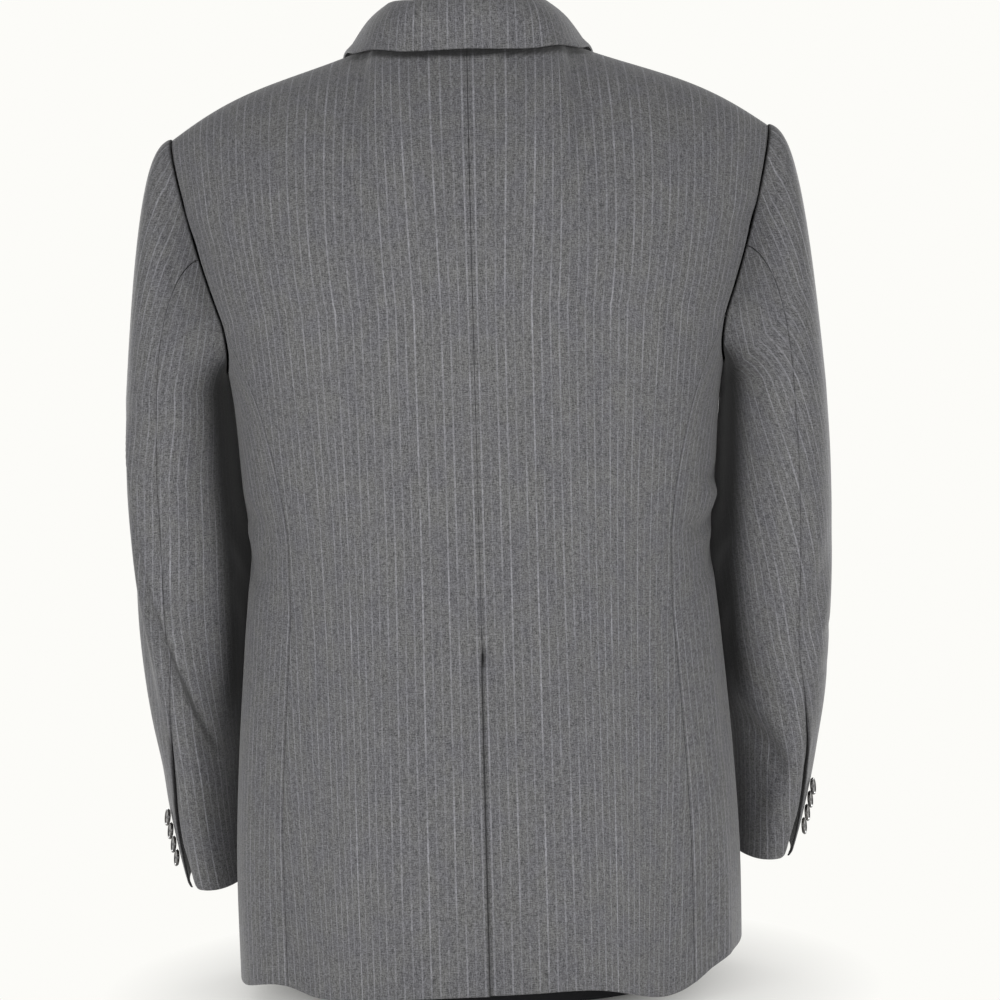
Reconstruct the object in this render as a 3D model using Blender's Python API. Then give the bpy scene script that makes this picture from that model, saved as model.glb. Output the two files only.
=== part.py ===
"""Two-button blazer standing on a limbless torso form.

Metres, +Z up. The coat's front faces -Y and its back +Y; the wearer's left is +X.
Angles run round the coat: 0 is the wearer's left side, 90 the centre back, -90 the centre front.
Each panel is one grid of points on the coat's outer face, closed by a second grid one wall inside it.
"""
import math
from collections import namedtuple

import bmesh
import bpy
from mathutils import Vector

# ---- cloth and making --------------------------------------------------------------------------
WALL = 0.0020            # cloth with its interlining
SLEEVE_WALL = 0.0018
GAP = 0.0003             # between neighbouring pieces
STEP = 0.002             # share of a panel used to measure its slope

# ---- heights -----------------------------------------------------------------------------------
SPLIT = 0.560            # where the side seams reach the armholes
ARMPIT_DIP = 0.038       # how far the armhole drops below that, on the side panel
VENT_TOP = 0.287
BREAK = 0.385            # where the lapels start to roll
SLEEVE_START = 0.500     # first full ring of the sleeve, below the armhole

# ---- places ------------------------------------------------------------------------------------
NAPE = Vector((0.0, 0.085, 0.785))
NECK_POINT = Vector((0.080, 0.004, 0.797))
SHOULDER_TIP = Vector((0.254, 0.0, 0.722))
SHOULDER_PAD = 0.009     # how far the shoulder line bows up
PAD_SKEW = 1.6           # above 1 the bow is fullest near the tip
NECK_SHARE = 0.4         # share of the back's columns that lie under the collar
GORGE = 1.62             # height station of the gorge on the front (2 is the shoulder seam)
VENT_UNDERLAP = 0.034
VENT_CURVE = 0.05        # how far the underlap follows the back's curve, as a share of its width
VENT_SHARE = (0.10, 0.30)                # columns over which the right back comes out again
VENT_EASE = 0.025        # height over which it sinks below the left one
LAP_FADE = (-0.050, -0.027)              # x over which the right front sinks below the left one
ROLL_FADE = (-0.060, -0.020)             # and below the left lapel's roll as well,
ROLL_FADE_Z = (0.350, 0.385)             # from these heights up
LAP_TOP = (0.500, 0.560)                 # heights over which both fade out
CENTRE_SHIFT = Vector((0.0002, 0.0003, 0.0))   # brings the whole part's box to the origin

# ---- the coat below the armholes ---------------------------------------------------------------
Body = namedtuple("Body", "name z half_width back front squareness")
BODY = (
    Body("hem",        0.000, 0.2120, 0.148, 0.150, 2.5),
    Body("seat",       0.110, 0.2130, 0.150, 0.150, 2.5),
    Body("pockets",    0.200, 0.2090, 0.143, 0.147, 2.5),
    Body("below waist", 0.290, 0.2025, 0.132, 0.141, 2.4),
    Body("waist",      0.368, 0.1965, 0.126, 0.137, 2.4),
    Body("rib",        0.430, 0.2010, 0.133, 0.141, 2.4),
    Body("chest",      0.500, 0.2065, 0.145, 0.148, 2.5),
    Body("split",      0.560, 0.2180, 0.151, 0.148, 2.5),
)

Seam = namedtuple("Seam", "name z x")
BACK_SEAM = (
    Seam("hem", 0.000, 0.1640), Seam("seat", 0.130, 0.1650), Seam("waist", 0.368, 0.1560),
    Seam("chest", 0.480, 0.1750), Seam("armhole", 0.560, 0.2085),
)
FRONT_SEAM = (
    Seam("hem", 0.000, 0.1900), Seam("seat", 0.130, 0.1900), Seam("waist", 0.368, 0.1760),
    Seam("chest", 0.480, 0.1880), Seam("armhole", 0.560, 0.2044),
)
FRONT_EDGE = (
    Seam("hem", 0.010, 0.0700), Seam("curve", 0.032, 0.0390), Seam("curve top", 0.075, 0.0120),
    Seam("skirt", 0.140, -0.0090), Seam("lower button", 0.250, -0.0200),
    Seam("break", 0.385, -0.0200), Seam("roll", 0.470, 0.0022), Seam("chest", 0.560, 0.0262),
)

# Lower edge of the coat; 0 is the wearer's left side, 90 the centre back, 180 the right side.
Hem = namedtuple("Hem", "name angle z")
HEM = (
    Hem("left side",         0, 0.0110), Hem("left back edge",   18, 0.0125),
    Hem("left back wave",   40, 0.0215), Hem("left back",        56, 0.0155),
    Hem("centre back",      90, 0.0180), Hem("right back",      108, 0.0200),
    Hem("right back dip",  126, 0.0090), Hem("right corner",    139, 0.0175),
    Hem("right back edge", 153, 0.0310), Hem("right side",      180, 0.0360),
    Hem("right front",     225, 0.0330), Hem("centre front",    270, 0.0250),
    Hem("left front",      315, 0.0160), Hem("left side again", 360, 0.0110),
)

# Soft folds of the body, raised (+) or sunk (-) from the ring; `lean` turns a fold with height.
Fold = namedtuple("Fold", "name angle z half_angle half_height out lean")
BODY_FOLDS = (
    Fold("left skirt flare", 62, 0.060, 15, 0.200, 0.0040, 0),
    Fold("left skirt hollow", 34, 0.070, 14, 0.200, -0.0030, 0),
    Fold("right skirt flare", 112, 0.050, 13, 0.180, 0.0035, 20),
    Fold("right skirt hollow", 133, 0.060, 13, 0.200, -0.0030, 0),
    Fold("left waist drag", 22, 0.372, 26, 0.045, -0.0035, 60),
    Fold("right waist drag", 160, 0.368, 26, 0.030, -0.0045, -60),
    Fold("right waist roll", 162, 0.408, 24, 0.026, 0.0025, -60),
    Fold("front drag left", -58, 0.360, 16, 0.090, -0.0030, 80),
    Fold("front drag right", -122, 0.360, 16, 0.090, -0.0030, -80),
)

# ---- sleeves -----------------------------------------------------------------------------------
Sleeve = namedtuple("Sleeve", "name z x y half_width half_depth twist right_shift")
SLEEVE = (
    Sleeve("cuff",         0.095, 0.2385, -0.063, 0.0265, 0.0620, -2, 0.001),
    Sleeve("upper cuff",   0.125, 0.2420, -0.056, 0.0285, 0.0625, -3, 0.003),
    Sleeve("buttons",      0.165, 0.2455, -0.046, 0.0310, 0.0630, -4, 0.005),
    Sleeve("forearm",      0.200, 0.2465, -0.036, 0.0330, 0.0645, -5, 0.007),
    Sleeve("mid forearm",  0.240, 0.2475, -0.024, 0.0385, 0.0660, -6, 0.006),
    Sleeve("below elbow",  0.285, 0.2475, -0.012, 0.0430, 0.0675, -7, 0.004),
    Sleeve("elbow",        0.330, 0.2475, -0.004, 0.0460, 0.0695, -8, 0.003),
    Sleeve("above elbow",  0.380, 0.2485, 0.002, 0.0465, 0.0715, -8, 0.002),
    Sleeve("arm",          0.440, 0.2520, 0.004, 0.0450, 0.0750, -6, 0.000),
    Sleeve("armpit",       0.500, 0.2530, 0.004, 0.0425, 0.0780, -4, -0.001),
)
SleeveFold = namedtuple("SleeveFold", "name side turn_top z_top turn_low z_low half_turn out")
SLEEVE_FOLDS = (
    SleeveFold("inner front left", 1, 228, 0.540, 228, 0.240, 55, 0.0080),
    SleeveFold("inner front right", -1, 228, 0.540, 228, 0.250, 55, 0.0080),
    SleeveFold("elbow crease left", 1, 0, 0.460, 66, 0.200, 24, -0.0055),
    SleeveFold("elbow roll left", 1, 22, 0.460, 90, 0.200, 22, 0.0030),
    SleeveFold("elbow crease right", -1, 30, 0.400, 110, 0.200, 26, -0.0040),
    SleeveFold("front crook left", 1, 300, 0.400, 262, 0.260, 26, -0.0050),
    SleeveFold("front crook right", -1, 300, 0.390, 262, 0.250, 26, -0.0050),
    SleeveFold("forearm roll right", -1, 60, 0.240, 120, 0.120, 26, 0.0030),
)
CUFF_LIFT = {1: -0.008, -1: 0.006}   # the right sleeve is drawn up a little
CUFF_FADE = (0.090, 0.420)   # heights over which that and the cuff's slant fade out
CUFF_STEP = 0.010        # height used to measure how the sleeve leans
HIND_SEAM = 86           # turn of the seam at the back of the sleeve
HIND_CUFF = 53           # it runs outward to this turn at the cuff,
HIND_FADE = 0.55         # below this height station
FORE_SEAM = 252          # turn of the seam at the sleeve's front
HEAD_REACH = 0.025       # how far the sleeve head runs outward before it falls
HEAD_SPREAD = 0.3        # how far it spreads to the back and front on the way, as a share of that
HEAD_DROP = 0.25         # and how far it drops
HEAD_RISE = 0.66         # share of the height over which the first ring leads up to it
HEAD_LEAN = 0.085        # and leans in
ROPE = 0.0015            # how far it stands above the shoulder

# ---- collar and lapels -------------------------------------------------------------------------
Collar = namedtuple("Collar", "name share seam_x seam_y seam_z fold_x fold_y fold_z edge_x edge_y edge_z")
COLLAR = (
    Collar("centre back", 0.00, 0.0000, 0.0848, 0.7858, 0.0000, 0.0850, 0.8150, 0.0000, 0.0950, 0.7730),
    Collar("back",        0.25, 0.0360, 0.0755, 0.7885, 0.0360, 0.0745, 0.8180, 0.0520, 0.0872, 0.7738),
    Collar("back corner", 0.35, 0.0520, 0.0652, 0.7912, 0.0490, 0.0590, 0.8220, 0.0760, 0.0770, 0.7786),
    Collar("neck side",   0.45, 0.0665, 0.0490, 0.7946, 0.0580, 0.0380, 0.8260, 0.0940, 0.0480, 0.7822),
    Collar("shoulder",    0.60, 0.0800, 0.0040, 0.7982, 0.0605, 0.0040, 0.8300, 0.1045, 0.0050, 0.7908),
    Collar("front neck",  0.78, 0.0772, -0.0367, 0.7900, 0.0640, -0.0390, 0.8080, 0.1120, -0.0385, 0.7806),
    Collar("collar bone", 0.89, 0.0745, -0.0600, 0.7775, 0.0690, -0.0650, 0.7850, 0.1190, -0.0620, 0.7650),
    Collar("gorge",       1.00, 0.0690, -0.0840, 0.7530, 0.0710, -0.0872, 0.7560, 0.1190, -0.0836, 0.7436),
)
STAND_END = 0.90         # share at which the stand runs out under the lapel's roll
STAND_RISE = 0.90        # how far the stand reaches up to the fold
FALL_STEPS = (0, 0.12, 0.35, 0.68, 1)    # shares from the fold to the edge
FALL_SWELL = 0.0035      # how far the fall bellies out
FALL_FACE = ((0.75, 0.65), (0.60, 0.80))     # out and up, near the fold and near the edge
LapelRow = namedtuple("LapelRow", "name z width puff")
LAPEL = (
    LapelRow("break",  0.00, 0.0040, 0.0000),
    LapelRow("lower",  0.15, 0.0270, 0.0020),
    LapelRow("belly",  0.45, 0.0580, 0.0035),
    LapelRow("upper",  0.80, 0.0800, 0.0020),
    LapelRow("corner", 1.00, 0.0860, 0.0010),
)

# ---- pockets and buttons -----------------------------------------------------------------------
LAPEL_LIFT = {1: 2 * GAP, -1: 4 * GAP}    # clear of the front below it
LAPEL_START = {1: 0.02, -1: 0.16}         # the right lapel's lower end is hidden by the left one
FLAP_TOP, FLAP_DROP = 0.262, 0.054
FLAP_FROM, FLAP_TO = -61.0, -21.0        # angles of the flap's ends, on the left
FLAP_FLARE = {1: 0.003, -1: 0.007}       # how far its lower edge stands off
JET_DEPTH = 0.005
WELT_X = (0.098, 0.186)
WELT_Z, WELT_RISE, WELT_DEPTH = 0.516, 0.006, 0.024
WELT_LIFT = 3.4 * GAP    # clear of the front's facets
FRONT_BUTTONS = (0.370, 0.262)
FRONT_BUTTON_SIZE = (0.0100, 0.0040)     # radius, thickness
CUFF_BUTTON_SIZE = (0.0075, 0.0026)
CUFF_BUTTON_TURN = 41
CUFF_BUTTON_TOP, CUFF_BUTTON_SPACING = 0.160, 0.0118
CUFF_BUTTON_TILT = 18.0
BUTTON_PROFILE = ((0.86, 0.0), (1.0, 0.45), (0.90, 1.0))     # share of the radius, share of the thickness
BUTTON_SIDES = 18

# ---- the form ----------------------------------------------------------------------------------
Form = namedtuple("Form", "name z half_width back front squareness")
FORM = (
    Form("base",     0.000, 0.1500, 0.100, 0.100, 2.3),
    Form("hip",      0.090, 0.1720, 0.116, 0.112, 2.3),
    Form("waist",    0.370, 0.1500, 0.094, 0.098, 2.2),
    Form("chest",    0.540, 0.1800, 0.118, 0.116, 2.3),
    Form("blades",   0.630, 0.1930, 0.108, 0.104, 2.3),
    Form("arm ball", 0.690, 0.2050, 0.084, 0.080, 2.2),
    Form("shoulder end", 0.722, 0.2080, 0.064, 0.062, 2.1),
    Form("shoulder", 0.742, 0.1970, 0.046, 0.043, 2.0),
    Form("slope",    0.762, 0.1665, 0.040, 0.037, 2.0),
    Form("slope top", 0.778, 0.1240, 0.036, 0.033, 2.0),
    Form("neck root", 0.788, 0.0800, 0.041, 0.039, 2.0),
    Form("neck bend", 0.798, 0.0580, 0.045, 0.044, 2.0),
    Form("neck",     0.815, 0.0470, 0.046, 0.046, 2.0),
    Form("neck top", 0.862, 0.0440, 0.044, 0.044, 2.0),
    Form("cap",      0.868, 0.0400, 0.040, 0.040, 2.0),
)
FORM_SIDES = 36
FORM_LOWER_TOP = 0.660   # evenly spaced rings up to here, then these
FORM_UPPER_RINGS = (0.685, 0.704, 0.722, 0.735, 0.748, 0.760, 0.771, 0.781, 0.791, 0.801, 0.815, 0.838,
                    0.862, 0.868)

# ---- materials ---------------------------------------------------------------------------------
Finish = namedtuple("Finish", "name colour roughness")
CLOTH = Finish("grey_pinstripe_worsted", (0.085, 0.084, 0.092), 0.85)
HORN = Finish("dark_button", (0.020, 0.019, 0.020), 0.35)
BLACK_COVER = Finish("black_form_cover", (0.010, 0.010, 0.011), 0.80)

BACK, FRONT = 1, -1
LEFT, RIGHT = 1, -1
LOWER_ROWS = (0, 0.03, 0.07, 0.12, 0.19, 0.26, 0.33, 0.40, 0.455, 0.485, 0.515, 0.57,
              0.64, 0.71, 0.78, 0.85, 0.92, 1)
UPPER_ROWS = tuple(1 + k / 8 for k in range(1, 9))
PANEL_ROWS = LOWER_ROWS + UPPER_ROWS
WIDE_COLUMNS = 11
SIDE_COLUMNS = 7


def smooth_row(rows, at, key="z"):
    """Every number of a table at `at`, on a smooth curve through its rows."""
    at = min(max(at, getattr(rows[0], key)), getattr(rows[-1], key))
    index = 0
    while index < len(rows) - 2 and at > getattr(rows[index + 1], key):
        index += 1
    low, high = rows[index], rows[index + 1]
    before, after = rows[max(index - 1, 0)], rows[min(index + 2, len(rows) - 1)]
    span = getattr(high, key) - getattr(low, key)
    t = (at - getattr(low, key)) / span
    values = {}
    for column in low._fields[1:]:
        a, b = getattr(low, column), getattr(high, column)
        rise_a = (b - getattr(before, column)) / (getattr(high, key) - getattr(before, key)) * span
        rise_b = (getattr(after, column) - a) / (getattr(after, key) - getattr(low, key)) * span
        values[column] = hermite(a, b, rise_a, rise_b, t)
    return low._replace(**values)


def hermite(start, end, leave, arrive, t):
    """Cubic from start to end that leaves and arrives with the given slopes."""
    return (start * (2 * t**3 - 3 * t**2 + 1) + leave * (t**3 - 2 * t**2 + t)
            + end * (3 * t**2 - 2 * t**3) + arrive * (t**3 - t**2))


def ease(value, start, end):
    """0 before start, 1 after end, smooth between."""
    t = min(max((value - start) / (end - start), 0.0), 1.0)
    return t * t * (3 - 2 * t)


def bump(value):
    """1 at 0, falling smoothly to 0 at -1 and 1."""
    return 0.5 + 0.5 * math.cos(math.pi * value) if abs(value) < 1 else 0.0


def apart(angle, other):
    """Smallest signed difference of two angles, in degrees."""
    return (angle - other + 180) % 360 - 180


def hem_height(angle):
    return smooth_row(HEM, angle % 360, "angle").z


def ring_outline(row, angle):
    """Point of a superellipse ring, and the direction away from it."""
    turn = math.radians(angle)
    power = 2 / row.squareness
    depth = row.back if math.sin(turn) > 0 else row.front
    x = math.copysign(abs(math.cos(turn)) ** power, math.cos(turn)) * row.half_width
    y = math.copysign(abs(math.sin(turn)) ** power, math.sin(turn)) * depth
    away = Vector((x / row.half_width**2, y / depth**2, 0)).normalized()
    return Vector((x, y, row.z)), away


def body_ring(z, angle):
    """Outer face of the coat below the armholes, folds included."""
    point, away = ring_outline(smooth_row(BODY, z)._replace(z=z), angle)
    out = 0.0
    for fold in BODY_FOLDS:
        centre = fold.angle + fold.lean * (z - fold.z)
        out += fold.out * bump(apart(angle, centre) / fold.half_angle) * bump((z - fold.z) / fold.half_height)
    return point + away * out


def angle_at_x(z, x, facing):
    """Angle at which the ring at height z is x from the centre, on the back or the front."""
    row = smooth_row(BODY, z)
    share = min(abs(x) / row.half_width, 1.0)
    turn = math.degrees(math.acos(share ** (row.squareness / 2)))
    if x < 0:
        turn = 180 - turn
    return facing * turn


def panel_ring_point(side, height, facing, x_at):
    """Point of the ring part of a panel; x_at(z) gives how far from the centre it is."""
    z = hem_height(90) + (SPLIT - hem_height(90)) * height
    angle = angle_at_x(z, side * x_at(z), facing)
    z = hem_height(angle) + (SPLIT - hem_height(angle)) * height
    return body_ring(z, angle_at_x(z, side * x_at(z), facing))


def seam_x(seam, z):
    return smooth_row(seam, z).x


def shoulder_line(share):
    """Shoulder seam from the neck point to the tip, on the left."""
    point = NECK_POINT.lerp(SHOULDER_TIP, share)
    point.z += SHOULDER_PAD * math.sin(math.pi * share**PAD_SKEW)
    return point


def back_top(across):
    """Top edge of the left back: neckline, then shoulder seam."""
    if across < NECK_SHARE:
        turn = across / NECK_SHARE * math.pi / 2
        return Vector((NECK_POINT.x * math.sin(turn),
                       NECK_POINT.y + (NAPE.y - NECK_POINT.y) * math.cos(turn),
                       NAPE.z + (NECK_POINT.z - NAPE.z) * math.sin(turn)**2))
    return shoulder_line((across - NECK_SHARE) / (1 - NECK_SHARE))


def yoke_point(side, lower, across, height, top, arrive):
    """Upper part of a panel: leaves the ring part smoothly and arrives at its top edge."""
    start = lower(side, across, 1.0)
    leave = (start - lower(side, across, 1.0 - STEP)).normalized()
    end = Vector((side * top.x, top.y, top.z))
    reach = (end - start).length * 1.1
    arrive = Vector((side * arrive.x, arrive.y, arrive.z)).normalized()
    return Vector(hermite(start, end, leave * reach, arrive * reach, height - 1))


def back_point(side, across, height):
    """Back half: across 0 is the centre seam and 1 the side seam; height 1 is SPLIT, 2 the top."""
    if height <= 1:
        return panel_ring_point(side, height, BACK, lambda z: across * seam_x(BACK_SEAM, z))
    neck = 1 - ease(across, 0, NECK_SHARE)
    arrive = Vector((0, -1 + 0.45 * neck, 0.08 + 0.80 * neck))
    return yoke_point(side, back_point, across, height, back_top(across), arrive)


def front_point(side, across, height):
    """Front: across 0 is the front edge or roll line and 1 the side seam."""
    if height <= 1:
        def x_at(z):
            edge, seam = seam_x(FRONT_EDGE, z), seam_x(FRONT_SEAM, z)
            return edge + (seam - edge) * across
        point = panel_ring_point(side, height, FRONT, x_at)
        if side == RIGHT:
            point.y += underlap_depth(point)
        return point
    return yoke_point(side, front_point, across, height, shoulder_line(across),
                      Vector((0, 1, 0)))


def underlap_depth(point):
    """How far the right front lies behind the left one where they overlap."""
    one_layer = (WALL + 2 * GAP) * ease(point.x, *LAP_FADE)
    lapel_layer = (WALL + 5 * GAP) * ease(point.x, *ROLL_FADE) * ease(point.z, *ROLL_FADE_Z)
    return (one_layer + lapel_layer) * (1 - ease(point.z, *LAP_TOP))


def side_point(side, across, height):
    """Side panel: across 0 is its back seam and 1 its front seam; its top is the armhole's foot."""
    top = SPLIT - ARMPIT_DIP * (1 - abs(2 * across - 1)**3)

    def angle_of(z):
        start = angle_at_x(z, side * seam_x(BACK_SEAM, z), BACK)
        end = angle_at_x(z, side * seam_x(FRONT_SEAM, z), FRONT)
        if side == RIGHT:
            end += 360
        return start + (end - start) * across
    guess = angle_of(hem_height(90) + (top - hem_height(90)) * height)
    z = hem_height(guess) + (top - hem_height(guess)) * height
    return body_ring(z, angle_of(z))


def normal_of(surface, across, height, high=2.0):
    """Unit normal of a surface(across, height), not yet turned to face outward."""
    a0, a1 = max(across - STEP, 0), min(across + STEP, 1)
    h0, h1 = max(height - STEP, 0), min(height + STEP, high)
    return (surface(a1, height) - surface(a0, height)).cross(
        surface(across, h1) - surface(across, h0)).normalized()


def panel_grids(surface, columns, rows, wall, flip, high=2.0, lift=0.0):
    """Outer and inner grids of a panel: lists of rows of points."""
    outer, inner = [], []
    for height in rows:
        outer_row, inner_row = [], []
        for across in columns:
            point = surface(across, height)
            normal = normal_of(surface, across, height, high) * flip
            outer_row.append(point + normal * lift)
            inner_row.append(point + normal * (lift - wall))
        outer.append(outer_row)
        inner.append(inner_row)
    return outer, inner


def shrink(grid, first=0.0, last=0.0, bottom=0.0, top=0.0):
    """Moves a grid's edges in along its own lines, which leaves the seam gaps."""
    for row in grid:
        if first:
            row[0] = row[0] + (row[1] - row[0]).normalized() * first
        if last:
            row[-1] = row[-1] + (row[-2] - row[-1]).normalized() * last
    if bottom:
        grid[0] = [a + (b - a).normalized() * bottom for a, b in zip(grid[0], grid[1])]
    if top:
        grid[-1] = [a + (b - a).normalized() * top for a, b in zip(grid[-1], grid[-2])]
    return grid


def material(finish):
    """Principled material for a finish, made once."""
    made = bpy.data.materials.get(finish.name)
    if made:
        return made
    made = bpy.data.materials.new(finish.name)
    made.use_nodes = True
    shader = made.node_tree.nodes["Principled BSDF"]
    shader.inputs["Base Color"].default_value = (*finish.colour, 1)
    shader.inputs["Roughness"].default_value = finish.roughness
    shader.inputs["Metallic"].default_value = 0.0
    return made


def add_object(name, bm, finish):
    """Closes off a bmesh as a named object with its faces out."""
    bmesh.ops.recalc_face_normals(bm, faces=bm.faces)
    bmesh.ops.translate(bm, verts=bm.verts, vec=CENTRE_SHIFT)
    mesh = bpy.data.meshes.new(name)
    bm.to_mesh(mesh)
    bm.free()
    mesh.materials.append(material(finish))
    mesh.shade_smooth()
    mesh.set_sharp_from_angle(angle=math.radians(40))
    made = bpy.data.objects.new(name, mesh)
    bpy.context.scene.collection.objects.link(made)
    return made


def wall_between(name, outer, inner, finish=CLOTH):
    """One closed wall from two grids of the same size."""
    bm = bmesh.new()
    front = [[bm.verts.new(p) for p in row] for row in outer]
    rear = [[bm.verts.new(p) for p in row] for row in inner]
    rows, columns = len(outer), len(outer[0])
    for r in range(rows - 1):
        for c in range(columns - 1):
            bm.faces.new((front[r][c], front[r][c + 1], front[r + 1][c + 1], front[r + 1][c]))
            bm.faces.new((rear[r][c], rear[r + 1][c], rear[r + 1][c + 1], rear[r][c + 1]))
    rim = ([(0, c) for c in range(columns)] + [(r, columns - 1) for r in range(1, rows)]
           + [(rows - 1, c) for c in range(columns - 2, -1, -1)] + [(r, 0) for r in range(rows - 2, 0, -1)])
    for (r0, c0), (r1, c1) in zip(rim, rim[1:] + rim[:1]):
        bm.faces.new((front[r0][c0], rear[r0][c0], rear[r1][c1], front[r1][c1]))
    bmesh.ops.triangulate(bm, faces=bm.faces)
    return add_object(name, bm, finish)


def spaced(count, start=0.0, end=1.0):
    """Evenly spaced shares from start to end."""
    return [start + (end - start) * k / (count - 1) for k in range(count)]


def build_backs():
    """Two back halves; below the vent's top the left one laps over the right one."""
    for side, name in ((LEFT, "back_left"), (RIGHT, "back_right")):
        def surface(across, height, side=side):
            point = back_point(side, across, height)
            if side == RIGHT:
                near = 1 - ease(across, *VENT_SHARE)
                below = 1 - ease(point.z, VENT_TOP, VENT_TOP + VENT_EASE)
                point.y -= (WALL + 2 * GAP) * near * below
            return point
        outer, inner = panel_grids(surface, spaced(WIDE_COLUMNS), PANEL_ROWS, WALL, -side)
        shrink(outer, GAP / 2, GAP / 2, top=GAP / 2)
        shrink(inner, GAP / 2, GAP / 2, top=GAP / 2)
        if side == RIGHT:
            for grid in (outer, inner):
                for row in grid:
                    share = 1 - ease(row[0].z, VENT_TOP - 1.3 * VENT_EASE, VENT_TOP - 0.3 * VENT_EASE)
                    row[0] = row[0] + Vector((VENT_UNDERLAP, -VENT_CURVE * VENT_UNDERLAP, 0)) * share
        wall_between(name, outer, inner)


def build_sides():
    for side, name in ((LEFT, "side_left"), (RIGHT, "side_right")):
        def surface(across, height, side=side):
            return side_point(side, across, height)
        outer, inner = panel_grids(surface, spaced(SIDE_COLUMNS), LOWER_ROWS, WALL, -side, high=1.0)
        wall_between(name, shrink(outer, GAP / 2, GAP / 2), shrink(inner, GAP / 2, GAP / 2))


def build_fronts():
    for side, name in ((LEFT, "front_left"), (RIGHT, "front_right")):
        def surface(across, height, side=side):
            return front_point(side, across, height)
        outer, inner = panel_grids(surface, spaced(WIDE_COLUMNS), PANEL_ROWS, WALL, side)
        wall_between(name, shrink(outer, last=GAP / 2, top=GAP / 2), shrink(inner, last=GAP / 2, top=GAP / 2))


def lapel_point(side, share, height):
    """Lapel over the front: share 0 is the roll line, 1 its outer edge; height 0 the break, 1 the gorge."""
    row = smooth_row(LAPEL, height)
    low = (BREAK + 0.010 - hem_height(90)) / (SPLIT - hem_height(90))
    station = low + (GORGE - low) * height
    width = (front_point(side, 1, station) - front_point(side, 0, station)).length
    return front_point(side, share * row.width / width, station), row.puff


def build_lapels():
    for side, name in ((LEFT, "lapel_left"), (RIGHT, "lapel_right")):
        def surface(across, up, side=side):
            return lapel_point(side, across, up)[0]
        outer, inner = [], []
        for height in spaced(12, LAPEL_START[side]):
            outer_row, inner_row = [], []
            for share in spaced(6):
                point, puff = lapel_point(side, share, height)
                away = normal_of(surface, share, height, 1.0) * side
                base = LAPEL_LIFT[side] + puff * math.sin(math.pi * share)
                inner_row.append(point + away * base)
                outer_row.append(point + away * (base + WALL))
            outer.append(outer_row)
            inner.append(inner_row)
        wall_between(name, outer, inner)


def collar_curves(share):
    """Seam, fold and edge of the collar; share runs from -1, the right front end, to 1, the left."""
    side = LEFT if share >= 0 else RIGHT
    row = smooth_row(COLLAR, abs(share), "share")
    return (Vector((side * row.seam_x, row.seam_y, row.seam_z)),
            Vector((side * row.fold_x, row.fold_y, row.fold_z)),
            Vector((side * row.edge_x, row.edge_y, row.edge_z)))


def build_collar():
    """The stand rises from the neck seam, and the fall turns down over it to its edge."""
    shares = spaced(25, -1, 1)
    stand_outer, stand_inner, fall_outer, fall_inner = [], [], [], []
    for share in shares:
        seam, fold, edge = collar_curves(share)
        away = Vector((fold.x, fold.y * 0.8, 0)).normalized()
        top = seam.lerp(fold, STAND_RISE)
        if abs(share) < STAND_END:
            stand_outer.append([seam.lerp(top, t) for t in (0, 0.5, 1)])
            stand_inner.append([p - away * WALL for p in stand_outer[-1]])
        outer_row, inner_row = [], []
        for t in FALL_STEPS:
            point = fold.lerp(edge, t) + away * (WALL + GAP * 4) * (1 - t)
            swell = FALL_SWELL * math.sin(math.pi * min(t * 1.2, 1))
            out, up = FALL_FACE[0] if t < 0.5 else FALL_FACE[1]
            normal = (away * out + Vector((0, 0, up))).normalized()
            outer_row.append(point + normal * (swell + WALL))
            inner_row.append(point + normal * swell)
        fall_outer.append(outer_row)
        fall_inner.append(inner_row)
    wall_between("collar_stand", stand_outer, stand_inner)
    wall_between("collar_fall", fall_outer, fall_inner)


def armhole_point(side, turn):
    """Armhole edge: turn 0 is the shoulder tip, 120 and 240 the side seams, 180 the armpit."""
    turn %= 360
    if turn <= 120:
        return back_point(side, 1.0, 2 - turn / 120)
    if turn < 240:
        return side_point(side, (turn - 120) / 120, 1.0)
    return front_point(side, 1.0, 1 + (turn - 240) / 120)


def sleeve_ring(side, z, turn):
    """Point of the sleeve below the armhole; turn 0 is outward, 90 back, 180 inward."""
    row = smooth_row(SLEEVE, z)
    angle, twist = math.radians(turn), math.radians(row.twist)
    wide, deep = row.half_width * math.cos(angle), row.half_depth * math.sin(angle)
    away = Vector((math.cos(angle) / row.half_width, math.sin(angle) / row.half_depth, 0)).normalized()
    for fold in SLEEVE_FOLDS:
        if fold.side != side:
            continue
        along = (fold.z_top - z) / (fold.z_top - fold.z_low)
        centre = fold.turn_top + (fold.turn_low - fold.turn_top) * along
        out = fold.out * bump(apart(turn, centre) / fold.half_turn) * bump(2 * along - 1)
        wide += away.x * out
        deep += away.y * out
    x = wide * math.cos(twist) - deep * math.sin(twist)
    y = wide * math.sin(twist) + deep * math.cos(twist)
    slope = (smooth_row(SLEEVE, z + CUFF_STEP).y - smooth_row(SLEEVE, z - CUFF_STEP).y) / (2 * CUFF_STEP)
    shift = 0.0 if side == LEFT else row.right_shift
    cuff = 1 - ease(z, *CUFF_FADE)
    return Vector((side * (row.x + x + shift), row.y + y, z - slope * y * cuff + CUFF_LIFT[side] * cuff))


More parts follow.
